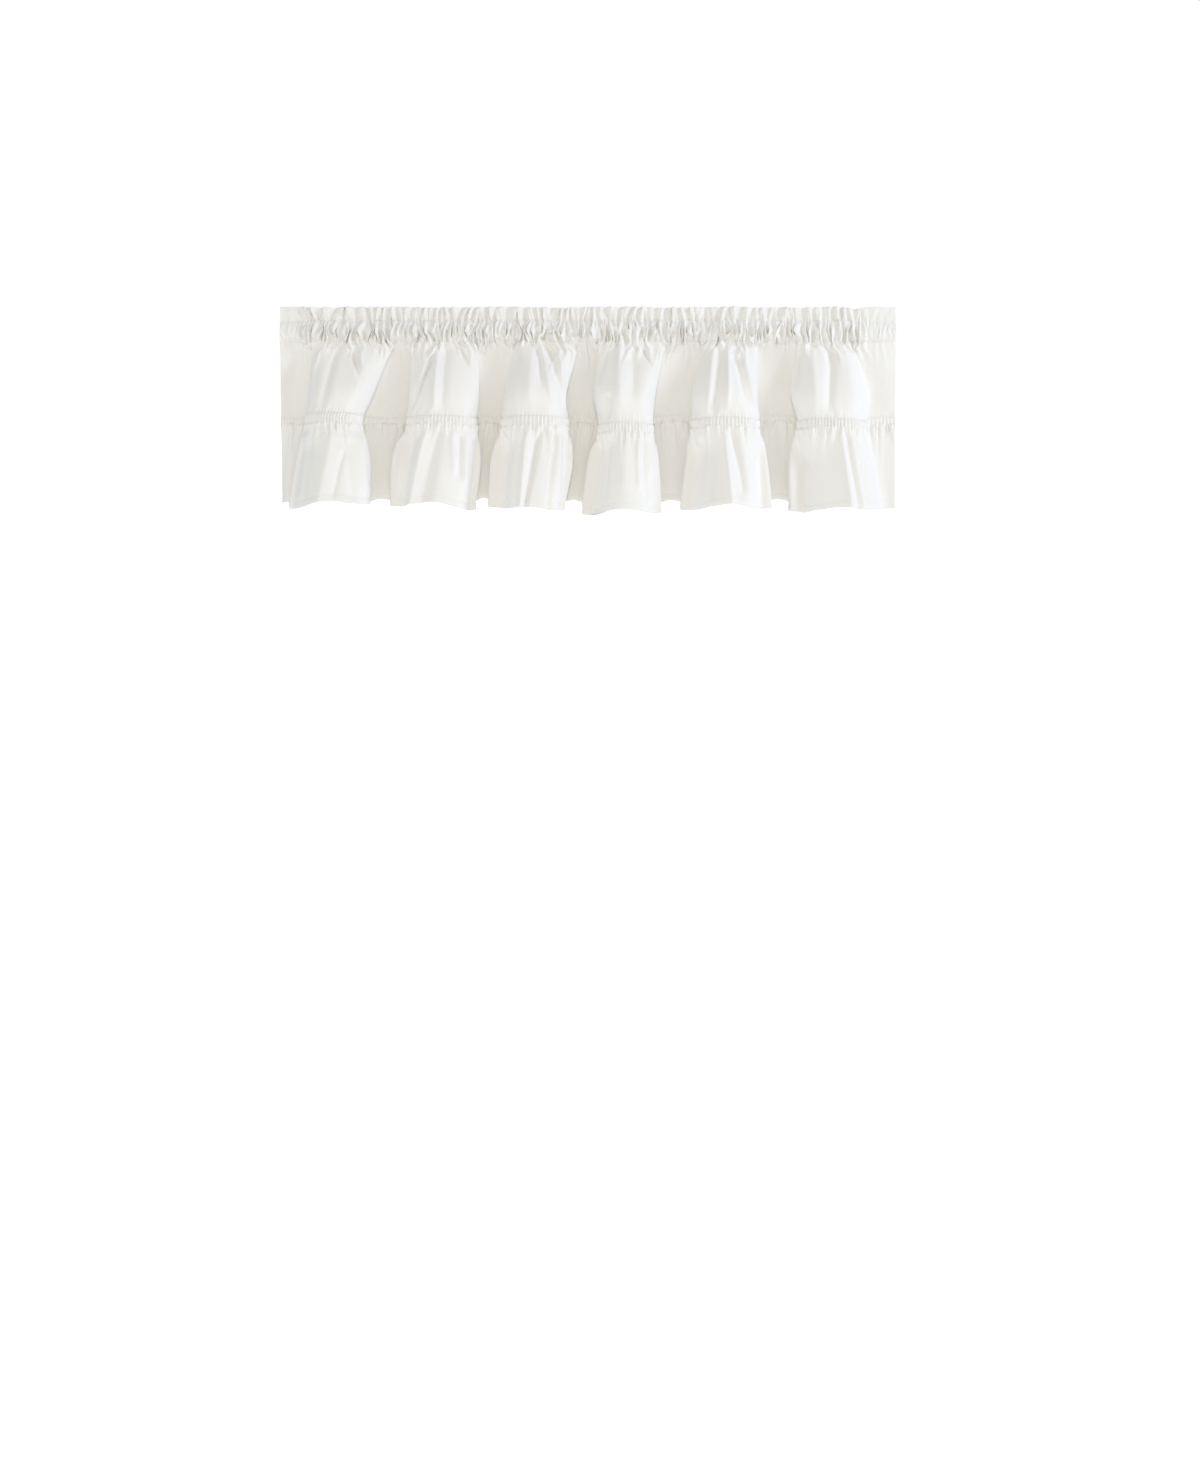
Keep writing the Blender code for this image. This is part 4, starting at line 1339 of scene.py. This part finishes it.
class ValanceSizes(bpy.types.PropertyGroup):
    """Fineness of the cloth's meshes, its flat widths, and the cotton's colour and finish"""

    heading_columns: bpy.props.IntProperty(
        name="Heading columns", description="Steps along the heading", default=2000, min=200)
    body_columns: bpy.props.IntProperty(
        name="Body columns", description="Steps along the body's cloth", default=1560, min=200)
    body_rows: bpy.props.IntProperty(
        name="Body rows", description="Steps down the body", default=60, min=10)
    band_columns: bpy.props.IntProperty(
        name="Band columns", description="Steps along the shirred band", default=2800, min=200)
    ruffle_columns: bpy.props.IntProperty(
        name="Ruffle columns", description="Steps along the ruffle's cloth", default=1400, min=200)
    ruffle_rows: bpy.props.IntProperty(
        name="Ruffle rows", description="Steps down the ruffle's loose folds", default=50, min=10)
    cotton_colour: bpy.props.FloatVectorProperty(
        name="Cotton colour", description="Colour of the white cotton", subtype="COLOR",
        default=(0.885, 0.882, 0.868), min=0.0, max=1.0)
    cotton_roughness: bpy.props.FloatProperty(
        name="Cotton roughness", description="Roughness of the cotton", subtype="FACTOR",
        default=0.82, min=0.0, max=1.0)
    flat_width: bpy.props.FloatProperty(
        name="Flat width", description="Width that the body was cut to", unit="LENGTH",
        default=FLAT_WIDTH, min=0.5)
    flat_ruffle_width: bpy.props.FloatProperty(
        name="Flat ruffle width", description="Width that the ruffle was cut to", unit="LENGTH",
        default=FLAT_RUFFLE_WIDTH, min=0.5)


class VALANCE_OT_heading(bpy.types.Operator):
    """Make the pleated header and the gathered rod pocket"""

    bl_idname = "valance.heading"
    bl_label = "Heading"

    def execute(self, context):
        sizes = context.scene.valance_sizes
        finish = cotton("heading cotton", sizes.cotton_colour, sizes.cotton_roughness, HEADING_FINISH)
        front = make_heading_front(sizes.heading_columns, HEADING_FRONT_ROWS)
        back = make_heading_back(sizes.heading_columns // 2, HEADING_BACK_ROWS)
        for piece in (front, back):
            piece.data.materials.append(finish)
            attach(piece, "root")
        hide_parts("heading")
        points, normals = grid_lines(front, sizes.heading_columns + 1)
        stitch_row = round(HEADING_FRONT_ROWS * STITCH_SHARE)
        rows = (stitch_row, HEADING_FRONT_ROWS - 1)
        thread = stitched("heading_stitches", [(points[row], normals[row]) for row in rows])
        thread.data.materials.append(sewing_thread(sizes.cotton_colour))
        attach(thread, "root")
        return {"FINISHED"}


class VALANCE_OT_body(bpy.types.Operator):
    """Make the fluted body"""

    bl_idname = "valance.body"
    bl_label = "Body"

    def execute(self, context):
        sizes = context.scene.valance_sizes
        piece = make_body(sizes.body_columns, sizes.body_rows)
        finish = cotton("body cotton", sizes.cotton_colour, sizes.cotton_roughness, BODY_FINISH)
        piece.data.materials.append(finish)
        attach(piece, "root")
        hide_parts("body")
        return {"FINISHED"}


class VALANCE_OT_ruffle(bpy.types.Operator):
    """Make the shirred ruffle, its hem and its stitching"""

    bl_idname = "valance.ruffle"
    bl_label = "Ruffle"

    def execute(self, context):
        sizes = context.scene.valance_sizes
        top = make_ruffle_top(sizes.band_columns, BAND_ROWS, GATHER_ROWS)
        skirt = make_ruffle(sizes.ruffle_columns, sizes.ruffle_rows)
        finish = cotton("ruffle cotton", sizes.cotton_colour, sizes.cotton_roughness, RUFFLE_FINISH)
        for piece in (top, skirt):
            piece.data.materials.append(finish)
            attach(piece, "root")
        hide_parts("ruffle")
        inner = slice(SIDE_COLUMNS // 2, -SIDE_COLUMNS // 2)
        points, normals = grid_lines(top, sizes.band_columns + 1 + SIDE_COLUMNS)
        lines = [(points[row, inner], normals[row, inner]) for row in (1, BAND_ROWS - 2)]
        points, normals = grid_lines(skirt, sizes.ruffle_columns + 1 + SIDE_COLUMNS)
        skirt_length = VALLEYS[0].hem - VALLEYS[0].band_foot - GATHERS_DROP
        hem_row = round((1 - HEM_DEPTH / skirt_length) * (sizes.ruffle_rows - 1))
        lines.append((points[hem_row, inner], normals[hem_row, inner]))
        thread = stitched("ruffle_stitches", lines)
        thread.data.materials.append(sewing_thread(sizes.cotton_colour))
        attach(thread, "root")
        return {"FINISHED"}


class VALANCE_OT_stage(bpy.types.Operator):
    """Make the backdrop, the lights and the camera"""

    bl_idname = "valance.stage"
    bl_label = "Stage"

    def execute(self, context):
        make_backdrop()
        for light in LIGHTS:
            add_light(light)
        context.scene.world = studio_world()
        context.scene.camera = add_camera()
        context.scene.view_settings.view_transform = "Standard"
        return {"FINISHED"}


class VALANCE_PT_panel(bpy.types.Panel):
    """Sidebar panel that lists the valance's sizes and pieces"""

    bl_idname = "VALANCE_PT_panel"
    bl_label = "Valance"
    bl_space_type = "VIEW_3D"
    bl_region_type = "UI"
    bl_category = "Valance"

    def draw(self, context):
        sizes = context.scene.valance_sizes
        for name in sizes.__annotations__:
            self.layout.prop(sizes, name)
        for step in STEPS:
            self.layout.operator(step.bl_idname)


STEPS = (VALANCE_OT_heading, VALANCE_OT_body, VALANCE_OT_ruffle, VALANCE_OT_stage)


def register():
    """Make the classes known to Blender."""
    bpy.utils.register_class(ValanceSizes)
    for step in STEPS:
        bpy.utils.register_class(step)
    bpy.utils.register_class(VALANCE_PT_panel)
    bpy.types.Scene.valance_sizes = bpy.props.PointerProperty(type=ValanceSizes)


def unregister():
    """Take the classes away again."""
    del bpy.types.Scene.valance_sizes
    bpy.utils.unregister_class(VALANCE_PT_panel)
    for step in reversed(STEPS):
        bpy.utils.unregister_class(step)
    bpy.utils.unregister_class(ValanceSizes)


def main():
    """Make every piece."""
    register()
    bpy.ops.valance.heading()
    bpy.ops.valance.body()
    bpy.ops.valance.ruffle()
    bpy.ops.valance.stage()


if __name__ == "__main__":
    main()
